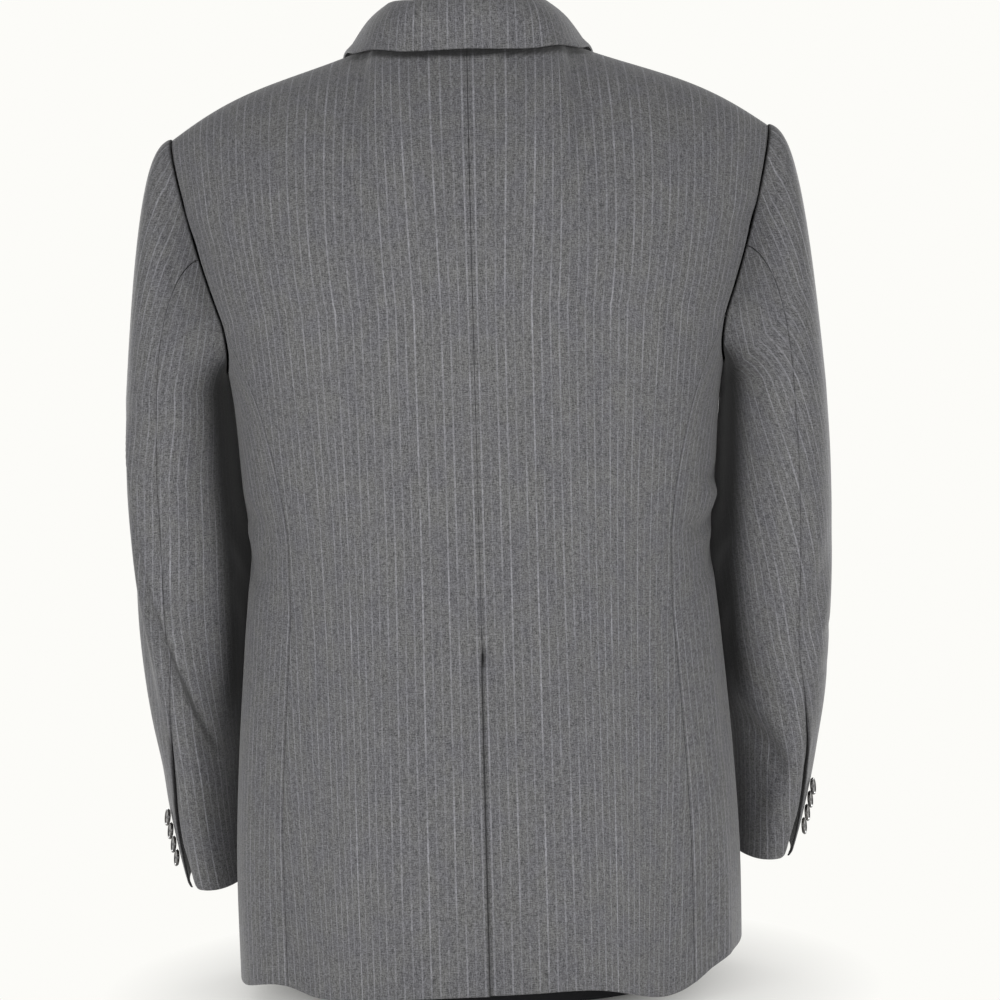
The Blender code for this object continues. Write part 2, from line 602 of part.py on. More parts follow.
def sleeve_point(side, turn, height):
    """Sleeve: height 0 is the cuff, 1 its first full ring, 2 the armhole."""
    cuff_z = SLEEVE[0].z
    if height <= 1:
        return sleeve_ring(side, cuff_z + (SLEEVE_START - cuff_z) * height, turn)
    end = sleeve_ring(side, SLEEVE_START, turn)
    start = armhole_point(side, turn)
    half = math.radians(turn) / 2
    start = start + Vector((side * GAP * 2, 0, ROPE * max(math.cos(2 * half), 0)))
    reach = HEAD_REACH * math.cos(half)**2
    leave = start + Vector((side * reach, HEAD_SPREAD * reach * math.sin(2 * half), -HEAD_DROP * reach))
    lift = (start.z - end.z) * HEAD_RISE
    arrive = end + Vector((-side * HEAD_LEAN * lift * math.cos(half)**2, 0, lift))
    t = 2 - height
    return (start * (1 - t)**3 + leave * 3 * t * (1 - t)**2 + arrive * 3 * t**2 * (1 - t) + end * t**3)


def sleeve_rows():
    return spaced(17) + [1 + k / 6 for k in range(1, 7)]


def hind_seam(height):
    """Turn of the hind seam at a height station."""
    return HIND_CUFF + (HIND_SEAM - HIND_CUFF) * ease(height, 0, HIND_FADE)


def build_sleeves():
    """Two-piece sleeves: the top sleeve outside and in front, the under sleeve towards the body."""
    pieces = (("top", FORE_SEAM - 360, 15), ("under", FORE_SEAM, 9))
    for side, side_name in ((LEFT, "left"), (RIGHT, "right")):
        for piece, fore, columns in pieces:
            def surface(across, height, side=side, fore=fore):
                hind = hind_seam(height)
                first, last = min(fore, hind), max(fore, hind)
                return sleeve_point(side, first + (last - first) * across, height)
            outer, inner = panel_grids(surface, spaced(columns), sleeve_rows(), SLEEVE_WALL, side)
            wall_between(f"sleeve_{side_name}_{piece}", shrink(outer, GAP / 2, GAP / 2),
                         shrink(inner, GAP / 2, GAP / 2))


def build_pockets():
    """Hip flaps and jets on both sides, made from the body's own points, and the breast welt."""
    for side, name in ((LEFT, "left"), (RIGHT, "right")):
        def strip(top, drop, lift_low, columns, rows, side=side):
            grids = ([], [])
            for down in spaced(rows):
                for grid, extra in zip(grids, (WALL, 0.0)):
                    row = []
                    for share in spaced(columns):
                        angle = FLAP_FROM + (FLAP_TO - FLAP_FROM) * share
                        angle = angle if side == LEFT else 180 - angle
                        point = body_ring(top - drop * down, angle)
                        away = ring_outline(smooth_row(BODY, point.z), angle)[1]
                        row.append(point + away * (2 * GAP + lift_low * down + extra))
                    grid.append(row)
            return grids
        wall_between(f"flap_{name}", *strip(FLAP_TOP, FLAP_DROP, FLAP_FLARE[side], 8, 3))
        wall_between(f"jet_{name}", *strip(FLAP_TOP + GAP + JET_DEPTH, JET_DEPTH, 0, 8, 2))
    outer, inner = [], []
    for up in (0, 1):
        rows = ([], [])
        for share in spaced(6):
            x = WELT_X[0] + (WELT_X[1] - WELT_X[0]) * share
            z = WELT_Z + WELT_RISE * share + WELT_DEPTH * up
            angle = angle_at_x(z, x, FRONT)
            point = body_ring(z, angle)
            away = ring_outline(smooth_row(BODY, z), angle)[1]
            for row, extra in zip(rows, (WALL, 0.0)):
                row.append(point + away * (WELT_LIFT + extra))
        outer.append(rows[0])
        inner.append(rows[1])
    wall_between("breast_welt", outer, inner)


def add_button(name, centre, axis, size):
    """Round button with a softened rim; axis points away from the cloth."""
    radius, thick = size
    bm = bmesh.new()
    turn = Vector((0, 0, 1)).rotation_difference(axis).to_matrix()
    rings = []
    for share, up in BUTTON_PROFILE:
        rings.append([bm.verts.new(centre + turn @ Vector((
            radius * share * math.cos(math.tau * k / BUTTON_SIDES),
            radius * share * math.sin(math.tau * k / BUTTON_SIDES), thick * up)))
            for k in range(BUTTON_SIDES)])
    for low, high in zip(rings, rings[1:]):
        for k in range(BUTTON_SIDES):
            n = (k + 1) % BUTTON_SIDES
            bm.faces.new((low[k], low[n], high[n], high[k]))
    bm.faces.new(rings[0])
    bm.faces.new(rings[-1])
    add_object(name, bm, HORN)


def build_buttons():
    for number, z in enumerate(FRONT_BUTTONS, 1):
        point = body_ring(z, -90)
        add_button(f"button_front_{number}", point + Vector((0, -3 * GAP, 0)), Vector((0, -1, 0)),
                   FRONT_BUTTON_SIZE)
    radius, thick = CUFF_BUTTON_SIZE
    tilt = math.radians(CUFF_BUTTON_TILT)
    for side, name in ((LEFT, "left"), (RIGHT, "right")):
        for number in range(4):
            z = CUFF_BUTTON_TOP - CUFF_BUTTON_SPACING * number
            point = sleeve_ring(side, z, CUFF_BUTTON_TURN)
            along = (sleeve_ring(side, z + thick, CUFF_BUTTON_TURN)
                     - sleeve_ring(side, z - thick, CUFF_BUTTON_TURN)).normalized()
            around = (sleeve_ring(side, z, CUFF_BUTTON_TURN + 4)
                      - sleeve_ring(side, z, CUFF_BUTTON_TURN - 4)).normalized()
            away = around.cross(along).normalized() * side
            axis = (away * math.cos(tilt) + along * math.sin(tilt)).normalized()
            lift = BUTTON_PROFILE[0][0] * radius * math.sin(tilt) + 2 * GAP
            add_button(f"cuff_button_{name}_{number + 1}", point + away * lift, axis, CUFF_BUTTON_SIZE)


def build_form():
    """Smooth black form: hips, waist, chest, shoulders and neck, flat underneath."""
    bm = bmesh.new()
    rings = []
    for z in spaced(13, 0.0, FORM_LOWER_TOP) + list(FORM_UPPER_RINGS):
        row = smooth_row(FORM, z)._replace(z=z)
        rings.append([bm.verts.new(ring_outline(row, 360 * k / FORM_SIDES)[0]) for k in range(FORM_SIDES)])
    for low, high in zip(rings, rings[1:]):
        for k in range(FORM_SIDES):
            n = (k + 1) % FORM_SIDES
            bm.faces.new((low[k], low[n], high[n], high[k]))
    bm.faces.new(rings[0])
    bm.faces.new(rings[-1])
    add_object("torso_form", bm, BLACK_COVER)


def main():
    for old in list(bpy.data.objects):
        bpy.data.objects.remove(old, do_unlink=True)
    build_backs()
    build_sides()
    build_fronts()
    build_lapels()
    build_collar()
    build_sleeves()
    build_pockets()
    build_buttons()
    build_form()


main()
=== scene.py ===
# %% [markdown]
# # A two-button blazer, filled out on a black torso form
# The coat is cut from grey pinstripe worsted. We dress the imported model: every panel becomes a thin
# cloth shell with its own creases, and the buttons and the form get their finish. All sizes are metres.
# The wearer's left is +X, the coat's back is +Y, and +Z is up.

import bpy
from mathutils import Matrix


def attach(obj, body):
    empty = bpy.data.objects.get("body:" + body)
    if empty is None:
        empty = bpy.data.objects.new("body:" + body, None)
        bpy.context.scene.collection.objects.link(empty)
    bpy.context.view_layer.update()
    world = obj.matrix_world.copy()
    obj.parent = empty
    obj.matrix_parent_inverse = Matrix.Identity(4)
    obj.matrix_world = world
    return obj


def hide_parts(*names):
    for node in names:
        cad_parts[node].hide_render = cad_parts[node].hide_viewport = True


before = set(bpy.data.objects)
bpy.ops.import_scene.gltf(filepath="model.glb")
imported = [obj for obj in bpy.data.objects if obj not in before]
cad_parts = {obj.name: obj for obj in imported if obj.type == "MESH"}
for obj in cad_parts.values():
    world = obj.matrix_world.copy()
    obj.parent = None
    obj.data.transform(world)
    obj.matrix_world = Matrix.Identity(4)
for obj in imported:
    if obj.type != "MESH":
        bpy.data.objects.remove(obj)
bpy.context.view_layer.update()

# %% Modules
import math
from collections import namedtuple
from types import SimpleNamespace

import bpy
import numpy as np
from mathutils import Matrix, Vector

bpy.ops.object.select_all(action="DESELECT")
scene = bpy.context.scene

# %% [markdown]
# ## Camera
# The photograph looks level at the back of the coat, from about 1.65 m behind it and from waist height,
# and it is turned by about a degree and a half. The camera's three axes are written down as a matrix,
# because that states the turn exactly.

# %% Camera
CAMERA_AT = Vector((-0.0172, 1.8085, 0.4080))
FOCAL_PIXELS = 2115
IMAGE_PIXELS = 1000
SENSOR = 36.0
ROLL = math.radians(1.5)

camera_data = bpy.data.cameras.new("back_camera")
camera_data.sensor_width = SENSOR
camera_data.lens = FOCAL_PIXELS * SENSOR / IMAGE_PIXELS
camera = bpy.data.objects.new("back_camera", camera_data)
scene.collection.objects.link(camera)
camera_right = Vector((-math.cos(ROLL), 0, -math.sin(ROLL)))
camera_up = Vector((-math.sin(ROLL), 0, math.cos(ROLL)))
camera_axes = Matrix((camera_right, camera_up, Vector((0, 1, 0)))).transposed()
camera.matrix_world = Matrix.Translation(CAMERA_AT) @ camera_axes.to_4x4()
scene.camera = camera
print("lens", round(camera_data.lens, 2), "mm")

# %% [markdown]
# ## Light and floor
# The coat hangs in even, white daylight. The world is a near white that lights the cloth softly from all
# sides, and large area lights add the gentle modelling. The floor fades into the world's colour, so no
# horizon shows. The standard view transform keeps the white as white as in the photograph.

# %% Light and floor
BACKDROP = (0.975, 0.970, 0.940)
AMBIENT = 0.36
scene.view_settings.view_transform = "Standard"

world = bpy.data.worlds.new("white_room")
scene.world = world
world.use_nodes = True
sky = world.node_tree
seen = sky.nodes["Background"]
seen.inputs["Color"].default_value = (*BACKDROP, 1)
lit = sky.nodes.new("ShaderNodeBackground")
lit.inputs["Color"].default_value = (1.0, 1.0, 1.0, 1)
lit.inputs["Strength"].default_value = AMBIENT
rays = sky.nodes.new("ShaderNodeLightPath")
choose = sky.nodes.new("ShaderNodeMixShader")
sky.links.new(rays.outputs["Is Camera Ray"], choose.inputs["Fac"])
sky.links.new(lit.outputs[0], choose.inputs[1])
sky.links.new(seen.outputs[0], choose.inputs[2])
sky.links.new(choose.outputs[0], sky.nodes["World Output"].inputs["Surface"])


def area_light(name, at, size, watts):
    """A square light at `at` that faces the middle of the coat."""
    data = bpy.data.lights.new(name, "AREA")
    data.size = size
    data.energy = watts
    light = bpy.data.objects.new(name, data)
    scene.collection.objects.link(light)
    light.location = at
    light.rotation_euler = (Vector((0, 0, 0.45)) - Vector(at)).to_track_quat("-Z", "Y").to_euler()
    return light


area_light("window_behind_camera", (0.2, 3.0, 0.6), 1.4, 34)
area_light("window_left_of_camera", (2.0, 2.1, 0.7), 1.3, 27)
area_light("window_right_of_camera", (-2.0, 2.1, 0.7), 1.3, 27)
area_light("front_light_left", (1.6, -2.4, 0.9), 1.3, 36)
area_light("front_light_right", (-1.9, -2.2, 0.9), 1.3, 40)

floor_material = bpy.data.materials.new("pale_floor")
floor_material.use_nodes = True
floor_tree = floor_material.node_tree
floor_paint = floor_tree.nodes["Principled BSDF"]
floor_paint.inputs["Base Color"].default_value = (0.86, 0.855, 0.83, 1)
floor_paint.inputs["Roughness"].default_value = 0.9
floor_glow = floor_tree.nodes.new("ShaderNodeEmission")
floor_glow.inputs["Color"].default_value = (*BACKDROP, 1)
floor_place = floor_tree.nodes.new("ShaderNodeTexCoord")
floor_reach = floor_tree.nodes.new("ShaderNodeVectorMath")
floor_reach.operation = "LENGTH"
floor_fade = floor_tree.nodes.new("ShaderNodeMapRange")
floor_fade.inputs["From Min"].default_value = 0.12
floor_fade.inputs["From Max"].default_value = 0.33
floor_mix = floor_tree.nodes.new("ShaderNodeMixShader")
floor_tree.links.new(floor_place.outputs["Object"], floor_reach.inputs[0])
floor_tree.links.new(floor_reach.outputs["Value"], floor_fade.inputs["Value"])
floor_tree.links.new(floor_fade.outputs[0], floor_mix.inputs["Fac"])
floor_tree.links.new(floor_paint.outputs[0], floor_mix.inputs[1])
floor_tree.links.new(floor_glow.outputs[0], floor_mix.inputs[2])
floor_tree.links.new(floor_mix.outputs[0], floor_tree.nodes["Material Output"].inputs["Surface"])
bpy.ops.mesh.primitive_circle_add(vertices=96, radius=3.0, fill_type="NGON", location=(0, 0, -0.0005))
floor = bpy.context.object
floor.name = "floor"
floor.data.materials.append(floor_material)

# %% [markdown]
# ## The coat's sizes
# These tables give the coat's shape: rings for the body and the sleeves, the lines of the seams and of
# the front edge, the rows of the collar and lapels, and the soft folds. Each row is one height or one
# place, and smooth curves run through the rows, so that a change in one number moves a whole region.

# %% Sizes of the body
WALL = 0.0020
SLEEVE_WALL = 0.0018
GAP = 0.0003
STEP = 0.002
SPLIT = 0.560
ARMPIT_DIP = 0.038
VENT_TOP = 0.287
BREAK = 0.385
SLEEVE_START = 0.500
NAPE = (0.0, 0.085, 0.785)
NECK_POINT = (0.080, 0.004, 0.797)
SHOULDER_TIP = (0.254, 0.0, 0.722)
SHOULDER_PAD = 0.009
PAD_SKEW = 1.6
NECK_SHARE = 0.4
GORGE = 1.62
VENT_SHARE = (0.10, 0.30)
VENT_EASE = 0.025
VENT_UNDERLAP = 0.034
LAP_FADE = (-0.050, -0.027)
ROLL_FADE = (-0.060, -0.020)
ROLL_FADE_Z = (0.350, 0.385)
LAP_TOP = (0.500, 0.560)
CENTRE_SHIFT = (0.0002, 0.0003, 0.0)
LEFT, RIGHT = 1, -1
SIDES = ((LEFT, "left"), (RIGHT, "right"))
BACK, FRONT = 1, -1

Body = namedtuple("Body", "name z half_width back front squareness")
BODY = (
    Body("hem",        0.000, 0.2120, 0.148, 0.150, 2.5),
    Body("seat",       0.110, 0.2130, 0.150, 0.150, 2.5),
    Body("pockets",    0.200, 0.2090, 0.143, 0.147, 2.5),
    Body("below waist", 0.290, 0.2025, 0.132, 0.141, 2.4),
    Body("waist",      0.368, 0.1965, 0.126, 0.137, 2.4),
    Body("rib",        0.430, 0.2010, 0.133, 0.141, 2.4),
    Body("chest",      0.500, 0.2065, 0.145, 0.148, 2.5),
    Body("split",      0.560, 0.2180, 0.151, 0.148, 2.5),
)
Seam = namedtuple("Seam", "name z x")
BACK_SEAM = (
    Seam("hem", 0.000, 0.1640), Seam("seat", 0.130, 0.1650), Seam("waist", 0.368, 0.1560),
    Seam("chest", 0.480, 0.1750), Seam("armhole", 0.560, 0.2085),
)
FRONT_SEAM = (
    Seam("hem", 0.000, 0.1900), Seam("seat", 0.130, 0.1900), Seam("waist", 0.368, 0.1760),
    Seam("chest", 0.480, 0.1880), Seam("armhole", 0.560, 0.2044),
)
FRONT_EDGE = (
    Seam("hem", 0.010, 0.0700), Seam("curve", 0.032, 0.0390), Seam("curve top", 0.075, 0.0120),
    Seam("skirt", 0.140, -0.0090), Seam("lower button", 0.250, -0.0200),
    Seam("break", 0.385, -0.0200), Seam("roll", 0.470, 0.0022), Seam("chest", 0.560, 0.0262),
)
Hem = namedtuple("Hem", "name angle z")
HEM = (
    Hem("left side",         0, 0.0110), Hem("left back edge",   18, 0.0125),
    Hem("left back wave",   40, 0.0215), Hem("left back",        56, 0.0155),
    Hem("centre back",      90, 0.0180), Hem("right back",      108, 0.0200),
    Hem("right back dip",  126, 0.0090), Hem("right corner",    139, 0.0175),
    Hem("right back edge", 153, 0.0310), Hem("right side",      180, 0.0360),
    Hem("right front",     225, 0.0330), Hem("centre front",    270, 0.0250),
    Hem("left front",      315, 0.0160), Hem("left side again", 360, 0.0110),
)
Fold = namedtuple("Fold", "name angle z half_angle half_height out lean")
BODY_FOLDS = (
    Fold("left skirt flare", 62, 0.060, 15, 0.200, 0.0040, 0),
    Fold("left skirt hollow", 34, 0.070, 14, 0.200, -0.0030, 0),
    Fold("right skirt flare", 112, 0.050, 13, 0.180, 0.0035, 20),
    Fold("right skirt hollow", 133, 0.060, 13, 0.200, -0.0030, 0),
    Fold("left waist drag", 22, 0.372, 26, 0.045, -0.0035, 60),
    Fold("right waist drag", 160, 0.368, 26, 0.030, -0.0045, -60),
    Fold("right waist roll", 162, 0.408, 24, 0.026, 0.0025, -60),
    Fold("front drag left", -58, 0.360, 16, 0.090, -0.0030, 80),
    Fold("front drag right", -122, 0.360, 16, 0.090, -0.0030, -80),
)
print(len(BODY), "body rings,", len(BODY_FOLDS), "soft folds")

# %% Sizes of the sleeves
Sleeve = namedtuple("Sleeve", "name z x y half_width half_depth twist right_shift")
SLEEVE = (
    Sleeve("cuff",         0.095, 0.2385, -0.063, 0.0265, 0.0620, -2, 0.001),
    Sleeve("upper cuff",   0.125, 0.2420, -0.056, 0.0285, 0.0625, -3, 0.003),
    Sleeve("buttons",      0.165, 0.2455, -0.046, 0.0310, 0.0630, -4, 0.005),
    Sleeve("forearm",      0.200, 0.2465, -0.036, 0.0330, 0.0645, -5, 0.007),
    Sleeve("mid forearm",  0.240, 0.2475, -0.024, 0.0385, 0.0660, -6, 0.006),
    Sleeve("below elbow",  0.285, 0.2475, -0.012, 0.0430, 0.0675, -7, 0.004),
    Sleeve("elbow",        0.330, 0.2475, -0.004, 0.0460, 0.0695, -8, 0.003),
    Sleeve("above elbow",  0.380, 0.2485, 0.002, 0.0465, 0.0715, -8, 0.002),
    Sleeve("arm",          0.440, 0.2520, 0.004, 0.0450, 0.0750, -6, 0.000),
    Sleeve("armpit",       0.500, 0.2530, 0.004, 0.0425, 0.0780, -4, -0.001),
)
SleeveFold = namedtuple("SleeveFold", "name side turn_top z_top turn_low z_low half_turn out")
SLEEVE_FOLDS = (
    SleeveFold("inner front left", 1, 228, 0.540, 228, 0.240, 55, 0.0080),
    SleeveFold("inner front right", -1, 228, 0.540, 228, 0.250, 55, 0.0080),
    SleeveFold("elbow crease left", 1, 0, 0.460, 66, 0.200, 24, -0.0055),
    SleeveFold("elbow roll left", 1, 22, 0.460, 90, 0.200, 22, 0.0030),
    SleeveFold("elbow crease right", -1, 30, 0.400, 110, 0.200, 26, -0.0040),
    SleeveFold("front crook left", 1, 300, 0.400, 262, 0.260, 26, -0.0050),
    SleeveFold("front crook right", -1, 300, 0.390, 262, 0.250, 26, -0.0050),
    SleeveFold("forearm roll right", -1, 60, 0.240, 120, 0.120, 26, 0.0030),
)
CUFF_LIFT = {LEFT: -0.008, RIGHT: 0.006}
CUFF_FADE = (0.090, 0.420)
CUFF_STEP = 0.010
HIND_SEAM, HIND_CUFF, HIND_FADE = 86, 53, 0.55
FORE_SEAM = 252
HEAD_REACH = 0.025
HEAD_SPREAD, HEAD_DROP, HEAD_RISE, HEAD_LEAN = 0.3, 0.25, 0.66, 0.085
ROPE = 0.0015
print(len(SLEEVE), "sleeve rings,", len(SLEEVE_FOLDS), "sleeve folds")

# %% Sizes of the collar, lapels, pockets, buttons and form
Collar = namedtuple("Collar", "name share seam_x seam_y seam_z fold_x fold_y fold_z edge_x edge_y edge_z")
COLLAR = (
    Collar("centre back", 0.00, 0.0000, 0.0848, 0.7858, 0.0000, 0.0850, 0.8150, 0.0000, 0.0950, 0.7730),
    Collar("back",        0.25, 0.0360, 0.0755, 0.7885, 0.0360, 0.0745, 0.8180, 0.0520, 0.0872, 0.7738),
    Collar("back corner", 0.35, 0.0520, 0.0652, 0.7912, 0.0490, 0.0590, 0.8220, 0.0760, 0.0770, 0.7786),
    Collar("neck side",   0.45, 0.0665, 0.0490, 0.7946, 0.0580, 0.0380, 0.8260, 0.0940, 0.0480, 0.7822),
    Collar("shoulder",    0.60, 0.0800, 0.0040, 0.7982, 0.0605, 0.0040, 0.8300, 0.1045, 0.0050, 0.7908),
    Collar("front neck",  0.78, 0.0772, -0.0367, 0.7900, 0.0640, -0.0390, 0.8080, 0.1120, -0.0385, 0.7806),
    Collar("collar bone", 0.89, 0.0745, -0.0600, 0.7775, 0.0690, -0.0650, 0.7850, 0.1190, -0.0620, 0.7650),
    Collar("gorge",       1.00, 0.0690, -0.0840, 0.7530, 0.0710, -0.0872, 0.7560, 0.1190, -0.0836, 0.7436),
)
STAND_END, STAND_RISE = 0.90, 0.90
FALL_SWELL = 0.0035
FALL_FACE = ((0.75, 0.65), (0.60, 0.80))
LapelRow = namedtuple("LapelRow", "name z width puff")
LAPEL = (
    LapelRow("break",  0.00, 0.0040, 0.0000),
    LapelRow("lower",  0.15, 0.0270, 0.0020),
    LapelRow("belly",  0.45, 0.0580, 0.0035),
    LapelRow("upper",  0.80, 0.0800, 0.0020),
    LapelRow("corner", 1.00, 0.0860, 0.0010),
)
LAPEL_LIFT = {LEFT: 2 * GAP, RIGHT: 4 * GAP}
LAPEL_START = {LEFT: 0.02, RIGHT: 0.16}
FLAP_TOP, FLAP_DROP = 0.262, 0.054
FLAP_FROM, FLAP_TO = -61.0, -21.0
FLAP_FLARE = {LEFT: 0.003, RIGHT: 0.007}
JET_DEPTH = 0.005
WELT_X = (0.098, 0.186)
WELT_Z, WELT_RISE, WELT_DEPTH, WELT_LIFT = 0.516, 0.006, 0.024, 3.4 * GAP
FRONT_BUTTONS = (0.370, 0.262)
FRONT_BUTTON_SIZE = (0.0100, 0.0040)
CUFF_BUTTON_SIZE = (0.0075, 0.0026)
CUFF_BUTTONS, CUFF_BUTTON_TURN = 4, 41
CUFF_BUTTON_TOP, CUFF_BUTTON_SPACING, CUFF_BUTTON_TILT = 0.160, 0.0118, 18.0
BUTTON_BASE = 0.86
Form = namedtuple("Form", "name z half_width back front squareness")
FORM = (
    Form("base",     0.000, 0.1500, 0.100, 0.100, 2.3),
    Form("hip",      0.090, 0.1720, 0.116, 0.112, 2.3),
    Form("waist",    0.370, 0.1500, 0.094, 0.098, 2.2),
    Form("chest",    0.540, 0.1800, 0.118, 0.116, 2.3),
    Form("blades",   0.630, 0.1930, 0.108, 0.104, 2.3),
    Form("arm ball", 0.690, 0.2050, 0.084, 0.080, 2.2),
    Form("shoulder end", 0.722, 0.2080, 0.064, 0.062, 2.1),
    Form("shoulder", 0.742, 0.1970, 0.046, 0.043, 2.0),
    Form("slope",    0.762, 0.1665, 0.040, 0.037, 2.0),
    Form("slope top", 0.778, 0.1240, 0.036, 0.033, 2.0),
    Form("neck root", 0.788, 0.0800, 0.041, 0.039, 2.0),
    Form("neck bend", 0.798, 0.0580, 0.045, 0.044, 2.0),
    Form("neck",     0.815, 0.0470, 0.046, 0.046, 2.0),
    Form("neck top", 0.862, 0.0440, 0.044, 0.044, 2.0),
    Form("cap",      0.868, 0.0400, 0.040, 0.040, 2.0),
)
print(len(COLLAR), "collar rows,", len(LAPEL), "lapel rows,", len(FORM), "form rings")

# %% [markdown]
# ## Creases
# A worn coat is never smooth. Each crease is one row here: the line that it follows, how wide it is and
# how far it rises (+) or sinks (-). On the body a place is the distance round the coat from the centre
# back, positive to the wearer's left, and the height. On a sleeve it is the turn round the arm (0 is
# outward, 90 the back, 180 inward) and the height. `bow` bends the line sideways in its middle. The
# creases of the back follow the photograph; the front has similar ones, drawn by its button.

# %% Creases of the body
Crease = namedtuple("Crease", "name at_top z_top at_low z_low bow width out")
BODY_CREASES = (
    Crease("left waist pull",        0.262, 0.402, 0.196, 0.392, 0.004, 0.0080, -0.0024),
    Crease("left waist pull below",  0.268, 0.372, 0.190, 0.345, -0.006, 0.0090, -0.0026),
    Crease("left waist roll",        0.262, 0.388, 0.200, 0.370, 0.002, 0.0075, 0.0016),
    Crease("left waist long drag",   0.215, 0.352, 0.120, 0.270, 0.006, 0.0150, -0.0016),
    Crease("left blade hollow",      0.105, 0.600, 0.085, 0.430, 0.010, 0.0260, -0.0022),
    Crease("left lumbar hollow",     0.066, 0.430, 0.058, 0.270, -0.006, 0.0200, -0.0018),
    Crease("left lumbar roll",       0.100, 0.410, 0.092, 0.250, -0.006, 0.0180, 0.0012),
    Crease("left hem wave",          0.158, 0.150, 0.153, -0.040, 0.000, 0.0120, -0.0022),
    Crease("left hem wave, outer",   0.190, 0.140, 0.187, -0.040, 0.000, 0.0130, 0.0018),
    Crease("left seat wave",         0.088, 0.190, 0.080, -0.030, 0.004, 0.0220, 0.0016),
    Crease("centre seam dip",       -0.012, 0.640, -0.010, 0.420, 0.000, 0.0120, -0.0009),
    Crease("right blade hollow",    -0.118, 0.610, -0.096, 0.440, -0.010, 0.0240, -0.0020),
    Crease("right lumbar hollow",   -0.070, 0.440, -0.064, 0.290, 0.004, 0.0200, -0.0014),
    Crease("right waist pinch",     -0.262, 0.428, -0.200, 0.424, 0.003, 0.0065, -0.0030),
    Crease("right waist roll",      -0.262, 0.412, -0.204, 0.410, 0.002, 0.0065, 0.0020),
    Crease("right waist fold",      -0.268, 0.396, -0.180, 0.384, 0.006, 0.0075, -0.0034),
    Crease("right waist roll two",  -0.262, 0.380, -0.196, 0.368, 0.004, 0.0070, 0.0020),
    Crease("right waist fold two",  -0.270, 0.362, -0.186, 0.340, 0.006, 0.0080, -0.0030),
    Crease("right waist long drag", -0.226, 0.350, -0.130, 0.275, -0.006, 0.0150, -0.0015),
    Crease("right skirt pull",      -0.235, 0.300, -0.205, 0.180, 0.006, 0.0120, -0.0020),
    Crease("right hem wave",        -0.176, 0.150, -0.181, -0.040, 0.000, 0.0080, -0.0030),
    Crease("right hem roll",        -0.197, 0.160, -0.203, -0.040, 0.000, 0.0090, 0.0024),
    Crease("right hem wave, inner", -0.150, 0.120, -0.153, -0.040, 0.000, 0.0110, 0.0018),
    Crease("right seat wave",       -0.095, 0.200, -0.088, -0.030, -0.004, 0.0220, -0.0014),
    Crease("front left button drag", 0.545, 0.372, 0.385, 0.408, 0.005, 0.0100, -0.0018),
    Crease("front left drag roll",   0.540, 0.388, 0.395, 0.432, 0.005, 0.0100, 0.0012),
    Crease("front left low drag",    0.540, 0.356, 0.400, 0.318, -0.006, 0.0110, -0.0018),
    Crease("front left chest fold",  0.330, 0.560, 0.352, 0.440, 0.010, 0.0120, -0.0022),
    Crease("front left skirt wave",  0.470, 0.200, 0.462, -0.030, 0.004, 0.0200, -0.0020),
    Crease("front right button drag", -0.545, 0.370, -0.380, 0.402, 0.005, 0.0100, -0.0018),
    Crease("front right drag roll", -0.540, 0.352, -0.392, 0.372, 0.004, 0.0100, 0.0012),
    Crease("front right low drag",  -0.540, 0.344, -0.405, 0.300, -0.006, 0.0110, -0.0018),
    Crease("front right chest fold", -0.326, 0.565, -0.350, 0.450, -0.010, 0.0120, -0.0022),
    Crease("front right skirt wave", -0.455, 0.190, -0.448, -0.030, -0.004, 0.0200, -0.0022),
)
YOKE_CREASES = (
    Crease("left armhole pull",      0.222, 0.640, 0.150, 0.575, 0.006, 0.0100, -0.0016),
    Crease("left armhole roll",      0.226, 0.665, 0.160, 0.602, 0.006, 0.0100, 0.0010),
    Crease("left shoulder dimple",   0.214, 0.748, 0.206, 0.680, 0.003, 0.0080, -0.0010),
    Crease("left blade roll",        0.150, 0.745, 0.110, 0.620, 0.010, 0.0240, 0.0014),
    Crease("collar ripple left",     0.100, 0.722, 0.020, 0.735, 0.005, 0.0080, -0.0009),
    Crease("collar ripple right",   -0.024, 0.736, -0.105, 0.724, -0.005, 0.0080, -0.0009),
    Crease("right blade roll",      -0.140, 0.740, -0.118, 0.610, -0.010, 0.0240, 0.0014),
    Crease("right armhole pull",    -0.224, 0.650, -0.160, 0.580, -0.006, 0.0100, -0.0018),
    Crease("right armhole roll",    -0.228, 0.672, -0.168, 0.606, -0.006, 0.0100, 0.0011),
    Crease("right shoulder dimple", -0.216, 0.745, -0.210, 0.690, -0.003, 0.0080, -0.0010),
)
print(len(BODY_CREASES) + len(YOKE_CREASES), "body creases")

